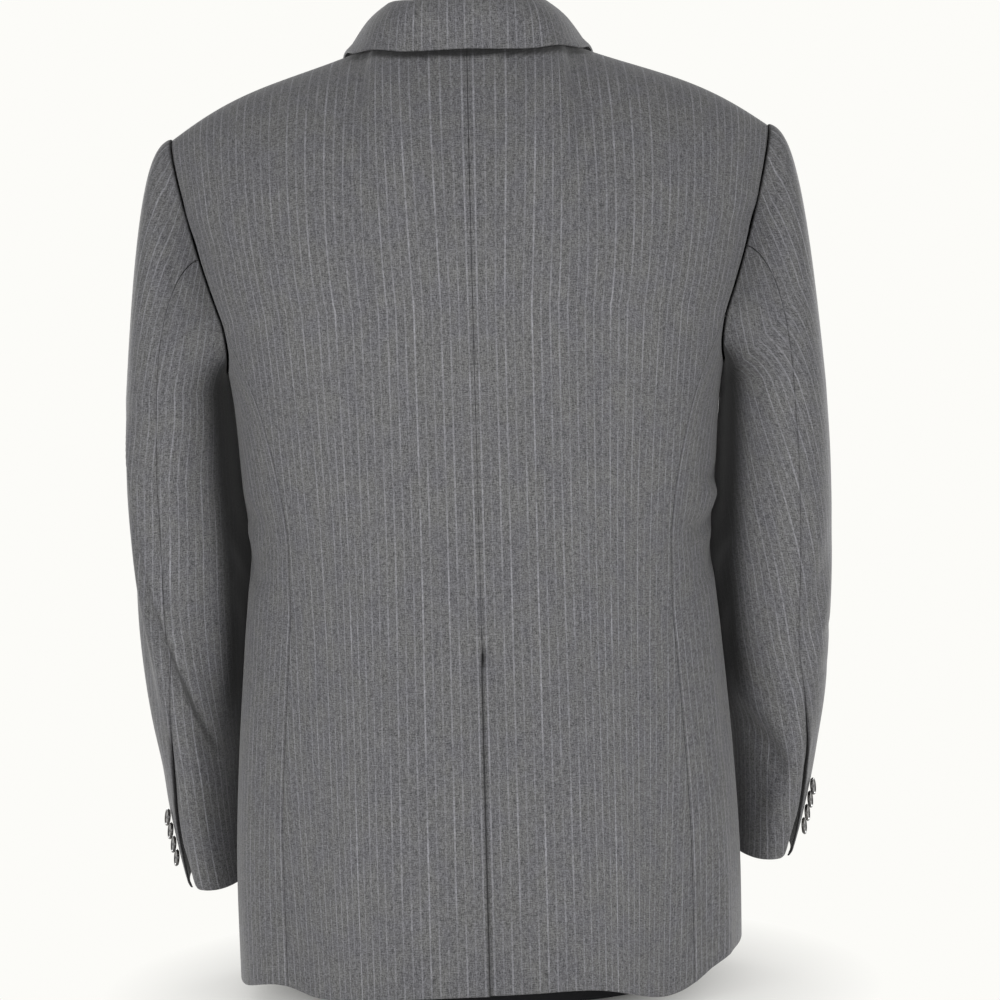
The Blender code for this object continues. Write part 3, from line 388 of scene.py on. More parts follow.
# %% Creases of the sleeves
SleeveCrease = namedtuple("SleeveCrease", "name side turn_top at_top turn_low at_low bow half_turn out")
SLEEVE_CREASES = (
    SleeveCrease("forearm roll",      1, 112, 0.300,  98, 0.120, 10, 16.0,  0.0012),
    SleeveCrease("inner elbow one",   1, 150, 0.400, 205, 0.340,  4, 12.0, -0.0022),
    SleeveCrease("inner elbow two",   1, 158, 0.350, 212, 0.285,  4, 12.0, -0.0020),
    SleeveCrease("upper arm hollow",  1,  96, 0.640,  88, 0.430,  6, 22.0, -0.0018),
    SleeveCrease("upper arm roll",    1,  40, 0.620,  58, 0.440,  4, 20.0,  0.0014),
    SleeveCrease("head dimple",       1,  30, 0.690,  66, 0.655,  3, 10.0, -0.0012),
    SleeveCrease("head dimple two",   1,  60, 0.668, 100, 0.600,  5, 10.0, -0.0014),
    SleeveCrease("front head fold",   1, 300, 0.660, 276, 0.560,  6, 14.0, -0.0016),
    SleeveCrease("front elbow one",   1, 318, 0.370, 262, 0.352,  5, 11.0, -0.0024),
    SleeveCrease("front elbow two",   1, 312, 0.338, 258, 0.312, -4, 10.0, -0.0020),
    SleeveCrease("front elbow roll",  1, 316, 0.354, 262, 0.332,  4, 10.0,  0.0014),
    SleeveCrease("elbow trough",     -1,  84, 0.345, 118, 0.190, -6, 18.0, -0.0018),
    SleeveCrease("forearm hollow",   -1, 172, 0.226,  90, 0.168,  5, 13.0, -0.0046),
    SleeveCrease("forearm fold",     -1, 168, 0.252,  86, 0.192,  5, 12.0,  0.0028),
    SleeveCrease("outer line one",   -1,  10, 0.300,  62, 0.286,  2,  6.0, -0.0009),
    SleeveCrease("outer line two",   -1,  20, 0.262,  70, 0.258, -2,  6.0, -0.0008),
    SleeveCrease("inner elbow one",  -1, 146, 0.395, 204, 0.345,  4, 12.0, -0.0022),
    SleeveCrease("inner elbow two",  -1, 150, 0.340, 206, 0.270,  4, 12.0, -0.0022),
    SleeveCrease("upper arm hollow", -1,  92, 0.640,  84, 0.440, -6, 22.0, -0.0018),
    SleeveCrease("upper arm roll",   -1,  36, 0.620,  52, 0.430,  4, 20.0,  0.0014),
    SleeveCrease("head dimple",      -1,  36, 0.688,  70, 0.650,  3, 10.0, -0.0012),
    SleeveCrease("front head fold",  -1, 302, 0.655, 278, 0.560,  6, 14.0, -0.0016),
    SleeveCrease("front elbow one",  -1, 316, 0.365, 260, 0.345,  5, 11.0, -0.0024),
    SleeveCrease("front elbow two",  -1, 310, 0.330, 258, 0.300, -4, 10.0, -0.0020),
)
print(len(SLEEVE_CREASES), "sleeve creases")

# %% The sharp fold of the left sleeve
# From outside the elbow it crosses the back of the forearm; the cloth behind it lies deeper.
SHARP_FOLD = ((34, 0.500), (43, 0.466), (53, 0.430), (62, 0.383), (76, 0.334), (92, 0.290), (112, 0.250),
              (130, 0.223), (151, 0.200))
FOLD_RISE, FOLD_SINK = 0.0052, 0.0048
FOLD_NEAR, FOLD_FAR = 0.0030, 0.0170      # width of its steep side and of its broad side
FOLD_REACH = 0.016                        # how far the hollow behind it reaches
FOLD_ENDS = (0.25, 0.88)                  # shares of its line where it is fully out and starts to fade
# A painted shadow line along the fold's steep side: its darkness, offset and width.
PAINTED_FOLD_SHADOW, PAINTED_FOLD_SHADOW_AT, PAINTED_FOLD_SHADOW_WIDTH = 0.95, 0.0024, 0.0028
print(len(SHARP_FOLD), "points on the sharp fold")

# %% [markdown]
# ## Curves and folds
# Cloth shapes are easiest as functions: given how far across and how far up a panel a point lies, they
# return its place. Numpy works them out for a whole panel at once. `smooth` runs a curve through a
# table's rows, `bump` makes a soft hill, and `crease_depth` adds up all creases near a point.

# %% Curves


def vector(x, y, z):
    """Stacks three numbers or arrays into points."""
    return np.stack(np.broadcast_arrays(np.asarray(x, float), y, z), -1)


def unit(vectors):
    return vectors / np.linalg.norm(vectors, axis=-1, keepdims=True)


def hermite(start, end, leave, arrive, t):
    """Cubic from start to end that leaves and arrives with the given slopes."""
    return (start * (2 * t**3 - 3 * t**2 + 1) + leave * (t**3 - 2 * t**2 + t)
            + end * (3 * t**2 - 2 * t**3) + arrive * (t**3 - t**2))


def smooth(rows, at, key="z"):
    """Every column of a table at `at`, on a smooth curve through its rows."""
    knots = np.array([getattr(row, key) for row in rows], float)
    at = np.clip(np.asarray(at, float), knots[0], knots[-1])
    low = np.clip(np.searchsorted(knots, at) - 1, 0, len(rows) - 2)
    high, before, after = low + 1, np.maximum(low - 1, 0), np.minimum(low + 2, len(rows) - 1)
    span = knots[high] - knots[low]
    found = {}
    for column in rows[0]._fields[1:]:
        values = np.array([getattr(row, column) for row in rows], float)
        leave = (values[high] - values[before]) / (knots[high] - knots[before]) * span
        arrive = (values[after] - values[low]) / (knots[after] - knots[low]) * span
        found[column] = hermite(values[low], values[high], leave, arrive, (at - knots[low]) / span)
    return SimpleNamespace(**found)


def ease(value, start, end):
    """0 before start, 1 after end, smooth between."""
    t = np.clip((np.asarray(value, float) - start) / (end - start), 0.0, 1.0)
    return t * t * (3 - 2 * t)


def bump(value):
    """1 at 0, falling smoothly to 0 at -1 and 1."""
    return np.where(np.abs(value) < 1, 0.5 + 0.5 * np.cos(np.pi * np.clip(value, -1, 1)), 0.0)


def apart(angle, other):
    """Smallest signed difference of two angles, in degrees."""
    return (angle - other + 180) % 360 - 180


def line_depth(at, z, crease, start, end, width):
    """Rise of one crease whose line runs from start (at, z) to end; `at` and z share one scale."""
    (a0, z0), (a1, z1) = start, end
    length = math.hypot(a1 - a0, z1 - z0)
    along = ((at - a0) * (a1 - a0) + (z - z0) * (z1 - z0)) / length**2
    away = ((at - a0) * (z1 - z0) - (z - z0) * (a1 - a0)) / length
    inside = np.clip(along, 0, 1)
    away = away - crease.bow * 4 * inside * (1 - inside)
    taper = np.sin(np.pi * inside) ** 0.7
    return crease.out * np.exp(-(away / width) ** 2) * taper


def crease_depth(creases, girth, z):
    total = np.zeros(np.broadcast(girth, z).shape)
    for crease in creases:
        total = total + line_depth(girth, z, crease, (crease.at_top, crease.z_top),
                                   (crease.at_low, crease.z_low), crease.width)
    return total


TURN_SCALE = 0.001        # a degree round the sleeve is about this far


def sleeve_crease_depth(side, turn, at):
    total = np.zeros(np.broadcast(turn, at).shape)
    for crease in SLEEVE_CREASES:
        if crease.side == side:
            middle = (crease.turn_top + crease.turn_low) / 2
            near = (middle + apart(turn, middle)) * TURN_SCALE
            scaled = crease._replace(bow=crease.bow * TURN_SCALE)
            total = total + line_depth(near, at, scaled, (crease.turn_top * TURN_SCALE, crease.at_top),
                                       (crease.turn_low * TURN_SCALE, crease.at_low),
                                       crease.half_turn * TURN_SCALE)
    return total


def sharp_fold(turn, at):
    """Rise of the left sleeve's sharp fold, and the painted shadow line on its steep side."""
    spot = np.stack([turn * TURN_SCALE, at], -1)
    line = np.array(SHARP_FOLD) * (TURN_SCALE, 1)
    steps = np.linalg.norm(np.diff(line, axis=0), axis=1)
    reach = np.concatenate([[0], np.cumsum(steps)]) / steps.sum()
    best, signed, along = np.full(turn.shape, 9.0), np.zeros(turn.shape), np.zeros(turn.shape)
    for start, end, before, after in zip(line[:-1], line[1:], reach[:-1], reach[1:]):
        way = end - start
        share = np.clip(((spot - start) @ way) / (way @ way), 0, 1)
        off = spot - start - share[..., None] * way
        distance = np.linalg.norm(off, axis=-1)
        closer = distance < best
        best = np.where(closer, distance, best)
        signed = np.where(closer, np.sign(off[..., 0] * -way[1] + off[..., 1] * way[0]) * distance, signed)
        along = np.where(closer, before + (after - before) * share, along)
    taper = ease(along, 0, FOLD_ENDS[0]) * (1 - ease(along, FOLD_ENDS[1], 1.0))
    crest = np.where(signed > 0, np.exp(-(signed / FOLD_FAR) ** 2), np.exp(-(signed / FOLD_NEAR) ** 2))
    hollow = np.where(signed < 0, 1 - np.exp(-(signed / FOLD_NEAR) ** 2), 0) * np.exp(-(signed / FOLD_REACH) ** 2)
    rise = taper * (FOLD_RISE * crest - FOLD_SINK * hollow)
    return rise, PAINTED_FOLD_SHADOW * taper * np.exp(-((signed + PAINTED_FOLD_SHADOW_AT) / PAINTED_FOLD_SHADOW_WIDTH) ** 2)


print("ease(0.5) =", float(ease(0.5, 0, 1)))

# %% [markdown]
# ## The body's surface
# Below the armholes the coat is a tube of superellipse rings. Above them each panel is a patch that
# leaves the tube smoothly and arrives at the neck and the shoulder seam. The body could be sculpted as
# one mesh, but functions give all panels the same surface, so that they meet exactly at their seams.

# %% The body's rings


def ring_outline(row, z, angle):
    """Points of a superellipse ring, and the directions away from it."""
    turn = np.radians(angle)
    cos, sin = np.cos(turn), np.sin(turn)
    power = 2 / row.squareness
    depth = np.where(sin > 0, row.back, row.front)
    x = np.sign(cos) * np.abs(cos) ** power * row.half_width
    y = np.sign(sin) * np.abs(sin) ** power * depth
    return vector(x, y, z), unit(vector(x / row.half_width**2, y / depth**2, 0 * x))


GIRTH_ANGLES = np.linspace(-90, 270, 1441)
girth_points = ring_outline(smooth(BODY, 0.3), 0.3, GIRTH_ANGLES)[0]
girth_steps = np.linalg.norm(np.diff(girth_points, axis=0), axis=1)
GIRTH = np.concatenate([[0], np.cumsum(girth_steps)])
GIRTH = np.interp(90, GIRTH_ANGLES, GIRTH) - GIRTH      # 0 at the centre back, + to the wearer's left
print("waist girth", round(float(GIRTH[0] - GIRTH[-1]), 3), "m")


def girth_at(angle):
    return np.interp((np.asarray(angle) + 90) % 360 - 90, GIRTH_ANGLES, GIRTH)


def hem_height(angle):
    return smooth(HEM, np.asarray(angle) % 360, "angle").z


def body_ring(z, angle, creased=True):
    """Outer face of the coat below the armholes."""
    point, away = ring_outline(smooth(BODY, z), z, angle)
    out = np.zeros(np.shape(z))
    for fold in BODY_FOLDS:
        centre = fold.angle + fold.lean * (z - fold.z)
        out = out + fold.out * bump(apart(angle, centre) / fold.half_angle) * bump((z - fold.z) / fold.half_height)
    if creased:
        out = out + crease_depth(BODY_CREASES, girth_at(angle), z)
    return point + away * out[..., None]


def angle_at_x(z, x, facing):
    """Angle at which the ring at height z is x from the centre, on the back or the front."""
    row = smooth(BODY, z)
    share = np.minimum(np.abs(x) / row.half_width, 1.0)
    turn = np.degrees(np.arccos(share ** (row.squareness / 2)))
    return facing * np.where(x < 0, 180 - turn, turn)


def panel_angle(side, height, facing, x_at):
    """Height and angle of a ring point of a panel; x_at(z) gives how far from the centre it is."""
    z = hem_height(90) + (SPLIT - hem_height(90)) * height
    angle = angle_at_x(z, side * x_at(z), facing)
    z = hem_height(angle) + (SPLIT - hem_height(angle)) * height
    return z, angle_at_x(z, side * x_at(z), facing)


def shoulder_line(share):
    """Shoulder seam from the neck point to the tip, on the left."""
    neck, tip = np.array(NECK_POINT), np.array(SHOULDER_TIP)
    line = neck + (tip - neck) * np.asarray(share)[..., None]
    return line + vector(0, 0, SHOULDER_PAD * np.sin(np.pi * np.clip(share, 0, 1) ** PAD_SKEW))


def back_top(across):
    """Top edge of the left back: neckline, then shoulder seam."""
    turn = np.clip(across / NECK_SHARE, 0, 1) * np.pi / 2
    neckline = vector(NECK_POINT[0] * np.sin(turn),
                      NECK_POINT[1] + (NAPE[1] - NECK_POINT[1]) * np.cos(turn),
                      NAPE[2] + (NECK_POINT[2] - NAPE[2]) * np.sin(turn) ** 2)
    seam = shoulder_line(np.clip((across - NECK_SHARE) / (1 - NECK_SHARE), 0, 1))
    return np.where((across < NECK_SHARE)[..., None], neckline, seam)


def back_x(across):
    return lambda z: across * smooth(BACK_SEAM, z).x


def front_x(across):
    def x_at(z):
        edge, seam = smooth(FRONT_EDGE, z).x, smooth(FRONT_SEAM, z).x
        return edge + (seam - edge) * across
    return x_at


def underlap_depth(point):
    """How far the right front lies behind the left one where they overlap."""
    one_layer = (WALL + 2 * GAP) * ease(point[..., 0], *LAP_FADE)
    roll_layer = (WALL + 5 * GAP) * ease(point[..., 0], *ROLL_FADE) * ease(point[..., 2], *ROLL_FADE_Z)
    return (one_layer + roll_layer) * (1 - ease(point[..., 2], *LAP_TOP))


def ring_part(side, across, height, facing, creased=True):
    """Ring part of a back (facing BACK) or a front (facing FRONT), at heights up to 1."""
    z, angle = panel_angle(side, height, facing, (back_x if facing == BACK else front_x)(across))
    point = body_ring(z, angle, creased)
    if facing == FRONT and side == RIGHT:
        point = point + vector(0, underlap_depth(point), 0)
    return point


def panel_point(side, across, height, facing):
    """A back or front: across 0 is its centre edge, 1 its side seam; height 1 is SPLIT, 2 the top."""
    across, height = np.broadcast_arrays(np.asarray(across, float), np.asarray(height, float))
    low = ring_part(side, across, np.minimum(height, 1.0), facing)
    start = ring_part(side, across, np.ones_like(height), facing, creased=False)
    leave = unit(start - ring_part(side, across, np.full_like(height, 1 - STEP), facing, creased=False))
    if facing == BACK:
        top = back_top(across)
        neck = 1 - ease(across, 0, NECK_SHARE)
        arrive = unit(vector(0, -1 + 0.45 * neck, 0.08 + 0.80 * neck))
    else:
        top = shoulder_line(across)
        arrive = vector(0, 1, np.zeros_like(across))
    end = top * np.array((side, 1, 1))
    reach = np.linalg.norm(end - start, axis=-1, keepdims=True) * 1.1
    high = hermite(start, end, leave * reach, arrive * reach, (height - 1)[..., None])
    return np.where((height <= 1)[..., None], low, high)


def side_point(side, across, height):
    """Side panel: across 0 is its back seam and 1 its front seam; its top is the armhole's foot."""
    across, height = np.broadcast_arrays(np.asarray(across, float), np.asarray(height, float))
    top = SPLIT - ARMPIT_DIP * (1 - np.abs(2 * across - 1) ** 3)

    def angle_of(z):
        start = angle_at_x(z, side * smooth(BACK_SEAM, z).x, BACK)
        end = angle_at_x(z, side * smooth(FRONT_SEAM, z).x, FRONT) + (360 if side == RIGHT else 0)
        return start + (end - start) * across
    guess = angle_of(hem_height(90) + (top - hem_height(90)) * height)
    z = hem_height(guess) + (top - hem_height(guess)) * height
    return body_ring(z, angle_of(z))


print("nape", np.round(panel_point(LEFT, 0.0, 2.0, BACK), 4))

# %% [markdown]
# ## Cloth shells
# One function turns a grid of points into a closed, thin cloth shell: the outer face, an inner face one
# wall behind it and a rim. Near each edge the outer face rolls inward, as a pressed seam does, which is
# what draws the fine dark lines between panels. The shell gets a UV map in metres, across and along the
# grain, so that stripes and weave have their real size, and an attribute for dark seams and painted shade.

# %% Shell maker
FREE_EDGE = 0.0011        # how far a free edge rolls in
SEAM_EDGE = 0.0003        # and a pressed seam
EDGE_SHADE = 0.0012       # width of the dark line along a seam
EDGE_STEPS = np.array((0.0, 0.00015, 0.0004, 0.0008, 0.0014, 0.0022))       # grid steps where an edge rolls in
SHARP_RIM = math.radians(55)
CLOTH_UV = "grain"


def grid_normals(grid, flip):
    return unit(np.cross(np.gradient(grid, axis=1), np.gradient(grid, axis=0))) * flip


def edge_distances(grid):
    """Distance of every grid point to the first and last column and the first and last row."""
    across = np.linalg.norm(np.diff(grid, axis=1), axis=2)
    along = np.linalg.norm(np.diff(grid, axis=0), axis=2)
    first = np.concatenate([np.zeros((grid.shape[0], 1)), np.cumsum(across, 1)], 1)
    low = np.concatenate([np.zeros((1, grid.shape[1])), np.cumsum(along, 0)], 0)
    return first, first[:, -1:] - first, low, low[-1:] - low


def shell_mesh(name, outer, inner, flip, u, v, shade):
    """Closed shell from two grids of points, its faces out, with UVs and the attribute of dark seams and painted
    shade.
    """
    rows, columns = outer.shape[:2]
    number = np.arange(rows * columns).reshape(rows, columns)
    a, b, c, d = number[:-1, :-1], number[:-1, 1:], number[1:, 1:], number[1:, :-1]
    front = np.stack([a, b, c, d], -1).reshape(-1, 4)
    rear = front[:, ::-1] + rows * columns
    rim = np.concatenate([number[0, :-1], number[:-1, -1], number[-1, :0:-1], number[:0:-1, 0]])
    after = np.roll(rim, -1)
    side_faces = np.stack([after, rim, rim + rows * columns, after + rows * columns], -1)
    faces = np.concatenate([front, rear, side_faces])
    if flip < 0:
        faces = faces[:, ::-1]
    points = np.concatenate([outer.reshape(-1, 3), inner.reshape(-1, 3)]) + np.array(CENTRE_SHIFT)
    mesh = bpy.data.meshes.new(name)
    mesh.from_pydata(points.tolist(), [], faces.tolist())
    grain = np.tile(np.stack([u, v], -1).reshape(-1, 2), (2, 1))
    layer = mesh.uv_layers.new(name=CLOTH_UV)
    layer.data.foreach_set("uv", grain[faces.reshape(-1)].reshape(-1))
    marks = mesh.attributes.new("seam_and_painted_shade", "FLOAT", "POINT")
    marks.data.foreach_set("value", np.tile(shade.reshape(-1), 2))
    mesh.shade_smooth()
    mesh.set_sharp_from_angle(angle=SHARP_RIM)
    mesh.update()
    return mesh


def cloth_piece(node, grid, flip, wall, u, v,
                rolls=(FREE_EDGE,) * 4, seams=(0, 0, 0, 0), shade=0.0):
    """Makes a cloth shell from a grid, names it after its CAD node and hides that node.

    `rolls` and `seams` say how far each edge rolls in and how dark it is: first and last column, low and
    high row. Each is a number, or one number a row or column.
    """
    name = "worsted_" + node
    normals = grid_normals(grid, flip)
    distances = edge_distances(grid)
    # `shade` brings painted shade; each seam's dark line is added to it.
    drop, shade = np.zeros(grid.shape[:2]), np.zeros(grid.shape[:2]) + shade
    for distance, roll, seam in zip(distances, rolls, seams):
        t = np.clip(distance / (2 * np.asarray(roll) + 1e-6), 0, 1)
        drop = np.maximum(drop, roll * (1 - np.sqrt(1 - (1 - t) ** 2)))
        shade = np.maximum(shade, seam * np.exp(-(distance / EDGE_SHADE) ** 2))
    mesh = shell_mesh(name, grid - normals * drop[..., None], grid - normals * wall, flip, u, v, shade)
    piece = bpy.data.objects.new(name, mesh)
    scene.collection.objects.link(piece)
    mesh.materials.append(cloth_material)
    width = float((distances[0][:, -1]).max())
    length = float((distances[2][-1]).max())
    width, length = round(width, 4), round(length, 4)
    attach(piece, "root")
    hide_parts(node)
    return piece


def shares(count, width, first=True):
    """Shares from 0 to 1 for a strip of this width; `first` is False where its first edge isn't rolled."""
    fine = EDGE_STEPS / width
    start = GAP / 2 / width if first else 0.0
    middle = np.linspace(0, 1, count)
    low = start + (fine if first else fine[:1])
    high = 1 - GAP / 2 / width - fine[::-1]
    middle = middle[(middle > low[-1] + 0.6 / count) & (middle < high[0] - 0.6 / count)]
    return np.concatenate([low, middle, high])


print("edge steps", len(shares(50, 0.2)))

# %% [markdown]
# ## The worsted
# Worsted is woven from smooth, combed yarns. Here pale and dark fibres are mixed in each yarn, so the
# grey is mottled, and every 7 mm or so one pale warp thread makes a pinstripe, some stronger than others.
# The shader works in metres on the grain map: a repeat of the stripe, stretched noises for the yarns,
# and the same noises as a very fine bump. Sheen and roughness give the dull nap.

# %% Node helpers


def add_node(tree, kind, **settings):
    made = tree.nodes.new(kind)
    for name, value in settings.items():
        setattr(made, name, value)
    return made


def feed(tree, socket, value):
    """Links a socket to another node's output, or sets it to a number."""
    if isinstance(value, bpy.types.NodeSocket):
        tree.links.new(value, socket)
    else:
        socket.default_value = value


def calc(tree, operation, *values):
    made = add_node(tree, "ShaderNodeMath", operation=operation)
    for socket, value in zip(made.inputs, values):
        feed(tree, socket, value)
    return made.outputs[0]


def remap(tree, value, low, high, to_low=0.0, to_high=1.0, smooth_ends=False):
    made = add_node(tree, "ShaderNodeMapRange")
    made.interpolation_type = "SMOOTHSTEP" if smooth_ends else "LINEAR"
    for name, number in zip(("Value", "From Min", "From Max", "To Min", "To Max"),
                            (value, low, high, to_low, to_high)):
        feed(tree, made.inputs[name], number)
    return made.outputs[0]


def blend_colours(tree, factor, first, second, how="MIX"):
    made = add_node(tree, "ShaderNodeMix", data_type="RGBA", blend_type=how)
    feed(tree, made.inputs[0], factor)
    for socket, colour in ((made.inputs[6], first), (made.inputs[7], second)):
        feed(tree, socket, colour if isinstance(colour, bpy.types.NodeSocket) else (*colour, 1))
    return made.outputs[2]


def noise(tree, place, sizes, detail=2.0, roughness=0.6, seed=0.0):
    """Noise whose grains are `sizes` metres across in each direction."""
    made_map = add_node(tree, "ShaderNodeMapping")
    tree.links.new(place, made_map.inputs["Vector"])
    made_map.inputs["Scale"].default_value = [1 / size for size in sizes]
    made_map.inputs["Location"].default_value = (seed, seed * 0.7, seed * 1.3)
    made = add_node(tree, "ShaderNodeTexNoise")
    tree.links.new(made_map.outputs[0], made.inputs["Vector"])
    made.inputs["Scale"].default_value = 1.0
    made.inputs["Detail"].default_value = detail
    made.inputs["Roughness"].default_value = roughness
    return made.outputs["Fac"]


def grey_of(tree, value):
    """A grey as bright as the value."""
    made = add_node(tree, "ShaderNodeCombineColor")
    for channel in made.inputs[:3]:
        tree.links.new(value, channel)
    return made.outputs[0]


def object_place(tree):
    return add_node(tree, "ShaderNodeTexCoord").outputs["Object"]


def add_relief(tree, shader, height, strength, distance):
    """A very fine bump."""
    relief = add_node(tree, "ShaderNodeBump")
    relief.inputs["Strength"].default_value = strength
    relief.inputs["Distance"].default_value = distance
    tree.links.new(height, relief.inputs["Height"])
    tree.links.new(relief.outputs[0], shader.inputs["Normal"])


def new_material(name, roughness, **constants):
    made = bpy.data.materials.new(name)
    made.use_nodes = True
    shader = made.node_tree.nodes["Principled BSDF"]
    shader.inputs["Roughness"].default_value = roughness
    for socket, value in constants.items():
        shader.inputs[socket.replace("_", " ")].default_value = value
    return made, made.node_tree, shader


# %% Pinstripe worsted
STRIPE_PITCH = 0.0071
STRIPE_HALF = 0.00060
CLOTH_DARK = (0.0960, 0.0955, 0.1020)
CLOTH_WARM = (0.1020, 0.1015, 0.1025)
STRIPE_COLOUR = (0.300, 0.300, 0.325)

cloth_material, tree, shader = new_material("grey_pinstripe_worsted", 0.82, Specular_IOR_Level=0.22,
                                            Sheen_Weight=0.16, Sheen_Roughness=0.45)
grain = add_node(tree, "ShaderNodeUVMap", uv_map=CLOTH_UV)
parts = add_node(tree, "ShaderNodeSeparateXYZ")
tree.links.new(grain.outputs[0], parts.inputs[0])
u, v = parts.outputs["X"], parts.outputs["Y"]

cell = calc(tree, "DIVIDE", u, STRIPE_PITCH)
stripe_number = calc(tree, "FLOOR", cell)
from_middle = calc(tree, "ABSOLUTE", calc(tree, "SUBTRACT", calc(tree, "FRACT", cell), 0.5))
from_middle = calc(tree, "MULTIPLY", from_middle, STRIPE_PITCH)
line = remap(tree, from_middle, STRIPE_HALF * 0.5, STRIPE_HALF * 1.6, 1.0, 0.0, smooth_ends=True)
lot = add_node(tree, "ShaderNodeTexWhiteNoise", noise_dimensions="1D")
tree.links.new(stripe_number, lot.inputs["W"])
own_strength = remap(tree, lot.outputs["Value"], 0.0, 1.0, 0.45, 0.80)
every_third = calc(tree, "LESS_THAN", calc(tree, "FLOORED_MODULO", stripe_number, 3.0), 0.5)
strength = calc(tree, "MULTIPLY", own_strength, remap(tree, every_third, 0.0, 1.0, 0.78, 1.0))
dots = remap(tree, noise(tree, grain.outputs[0], (0.003, 0.0022, 1), 3.0, 0.7), 0.36, 0.62, 0.25, 1.0)
fade = remap(tree, noise(tree, grain.outputs[0], (0.007, 0.045, 1), 1.0, 0.5, 3.0), 0.35, 0.65, 0.35, 0.95)
stripe = calc(tree, "MULTIPLY", calc(tree, "MULTIPLY", line, strength), calc(tree, "MULTIPLY", dots, fade))

warp_yarn = noise(tree, grain.outputs[0], (0.00085, 0.0042, 1), 2.0, 0.6, 11.0)
weft_yarn = noise(tree, grain.outputs[0], (0.0042, 0.00085, 1), 2.0, 0.6, 23.0)
fibre = noise(tree, grain.outputs[0], (0.0011, 0.0011, 1), 3.0, 0.7, 37.0)
yarns = calc(tree, "ADD", calc(tree, "ADD", warp_yarn, weft_yarn), calc(tree, "MULTIPLY", fibre, 1.6))
mottle = remap(tree, yarns, 1.45, 2.15, 0.40, 1.66)
cloudy = noise(tree, grain.outputs[0], (0.016, 0.024, 1), 2.0, 0.5, 51.0)
ground = blend_colours(tree, remap(tree, cloudy, 0.35, 0.65), CLOTH_DARK, CLOTH_WARM)
mottled = blend_colours(tree, 1.0, ground, grey_of(tree, mottle), "MULTIPLY")
striped = blend_colours(tree, stripe, mottled, STRIPE_COLOUR)
# Dark seam lines, and painted shade: the shadows under the collar, beside the vent, on the sleeves' inner sides
# and along the sharp fold.
edge = add_node(tree, "ShaderNodeAttribute", attribute_name="seam_and_painted_shade")
seam_lines_and_painted_shade = remap(tree, edge.outputs["Fac"], 0.0, 1.0, 1.0, 0.10)
tree.links.new(blend_colours(tree, 1.0, striped, grey_of(tree, seam_lines_and_painted_shade), "MULTIPLY"), shader.inputs["Base Color"])
add_relief(tree, shader, calc(tree, "ADD", yarns, stripe), 0.35, 0.00025)
print("worsted nodes", len(tree.nodes))

# %% [markdown]
# ## Backs, sides and fronts
# Each panel is cut with its grain upright: the stripes run parallel to the centre back, and higher up
# they fan out towards the armholes, because the cloth is shrunk and pressed over the shoulder blades.
# Below the vent's top the left back laps over the right one, which lies a layer deeper. The panels could
# be cut from one mesh, but a grid for each keeps its edges clean and gives its stripes their direction.

# %% Backs
HEM_Z, YOKE_LENGTH, YOKE_RISE = 0.02, 0.22, 0.215
SIDE_LINE, SHOULDER_LINE = 0.12, 0.5        # darkness of the side seams and of the shoulder seam
# Widths of the painted shadows under the collar's edge and beside the vent's edge.
COLLAR_SHADOW = 0.0060
VENT_SHADOW = 0.0026
FAN = 0.62                # how far the stripes follow the armhole's slant above the armpit
LEAN = 0.070              # how far the outer stripes lean outward below it
LEAN_FROM = (0.070, 0.170)


def heights_of(lower, upper):
    """Rows from the hem (0) over the armpit (1) to the top (2), fine at both ends."""
    low = np.linspace(0, 1, lower, endpoint=False)
    high = 1 + np.linspace(0, 1, upper)
    start = EDGE_STEPS / (SPLIT - HEM_Z)
    end = 2 - GAP / 2 / YOKE_LENGTH - EDGE_STEPS[::-1] / YOKE_LENGTH
    middle = np.concatenate([low, high])
    middle = middle[(middle > start[-1] * 1.5) & (middle < end[0] - 0.002)]
    return np.concatenate([start, middle, end])


def grain_of(grid, heights, x_start, side):
    """Grain map of a back or a front: distance from the centre line, and height along the cloth."""
    first, _, low, _ = edge_distances(grid)
    u = first + x_start[:, None]
    at_split = int(np.argmin(np.abs(heights - 1.0)))
    slanted = u[at_split] + (side * (grid[..., 0] - grid[at_split, :, 0])) * (1 - FAN)
    u = np.where((heights > 1)[:, None], slanted, u)
    lean = LEAN * ease(np.abs(u), *LEAN_FROM) * np.minimum(grid[..., 2] - SPLIT, 0)
    return u - lean * np.sign(u), low


def dent_yoke(grid, flip, girth, heights):
    """Adds the creases of the part above the armpit, along the cloth's own normals."""
    z = SPLIT + np.maximum(heights - 1, 0)[:, None] * YOKE_RISE + 0 * girth
    depth = crease_depth(YOKE_CREASES, girth, z) * ease(heights, 1.0, 1.05)[:, None]
    return grid + grid_normals(grid, flip) * depth[..., None]


def armhole_edge(heights):
    """Roll and darkness of a panel's outer edge: side seam below the armpit, armhole above it."""
    above = ease(heights, 1.0, 1.03)[:, None]
    return SEAM_EDGE + (FREE_EDGE - SEAM_EDGE) * above, SIDE_LINE + (1 - SIDE_LINE) * above


collar_row = smooth(COLLAR, np.linspace(0, 0.7, 60), "share")
collar_rim = vector(collar_row.edge_x, collar_row.edge_y, collar_row.edge_z)
collar_rim = np.concatenate([collar_rim, collar_rim * (-1, 1, 1)])

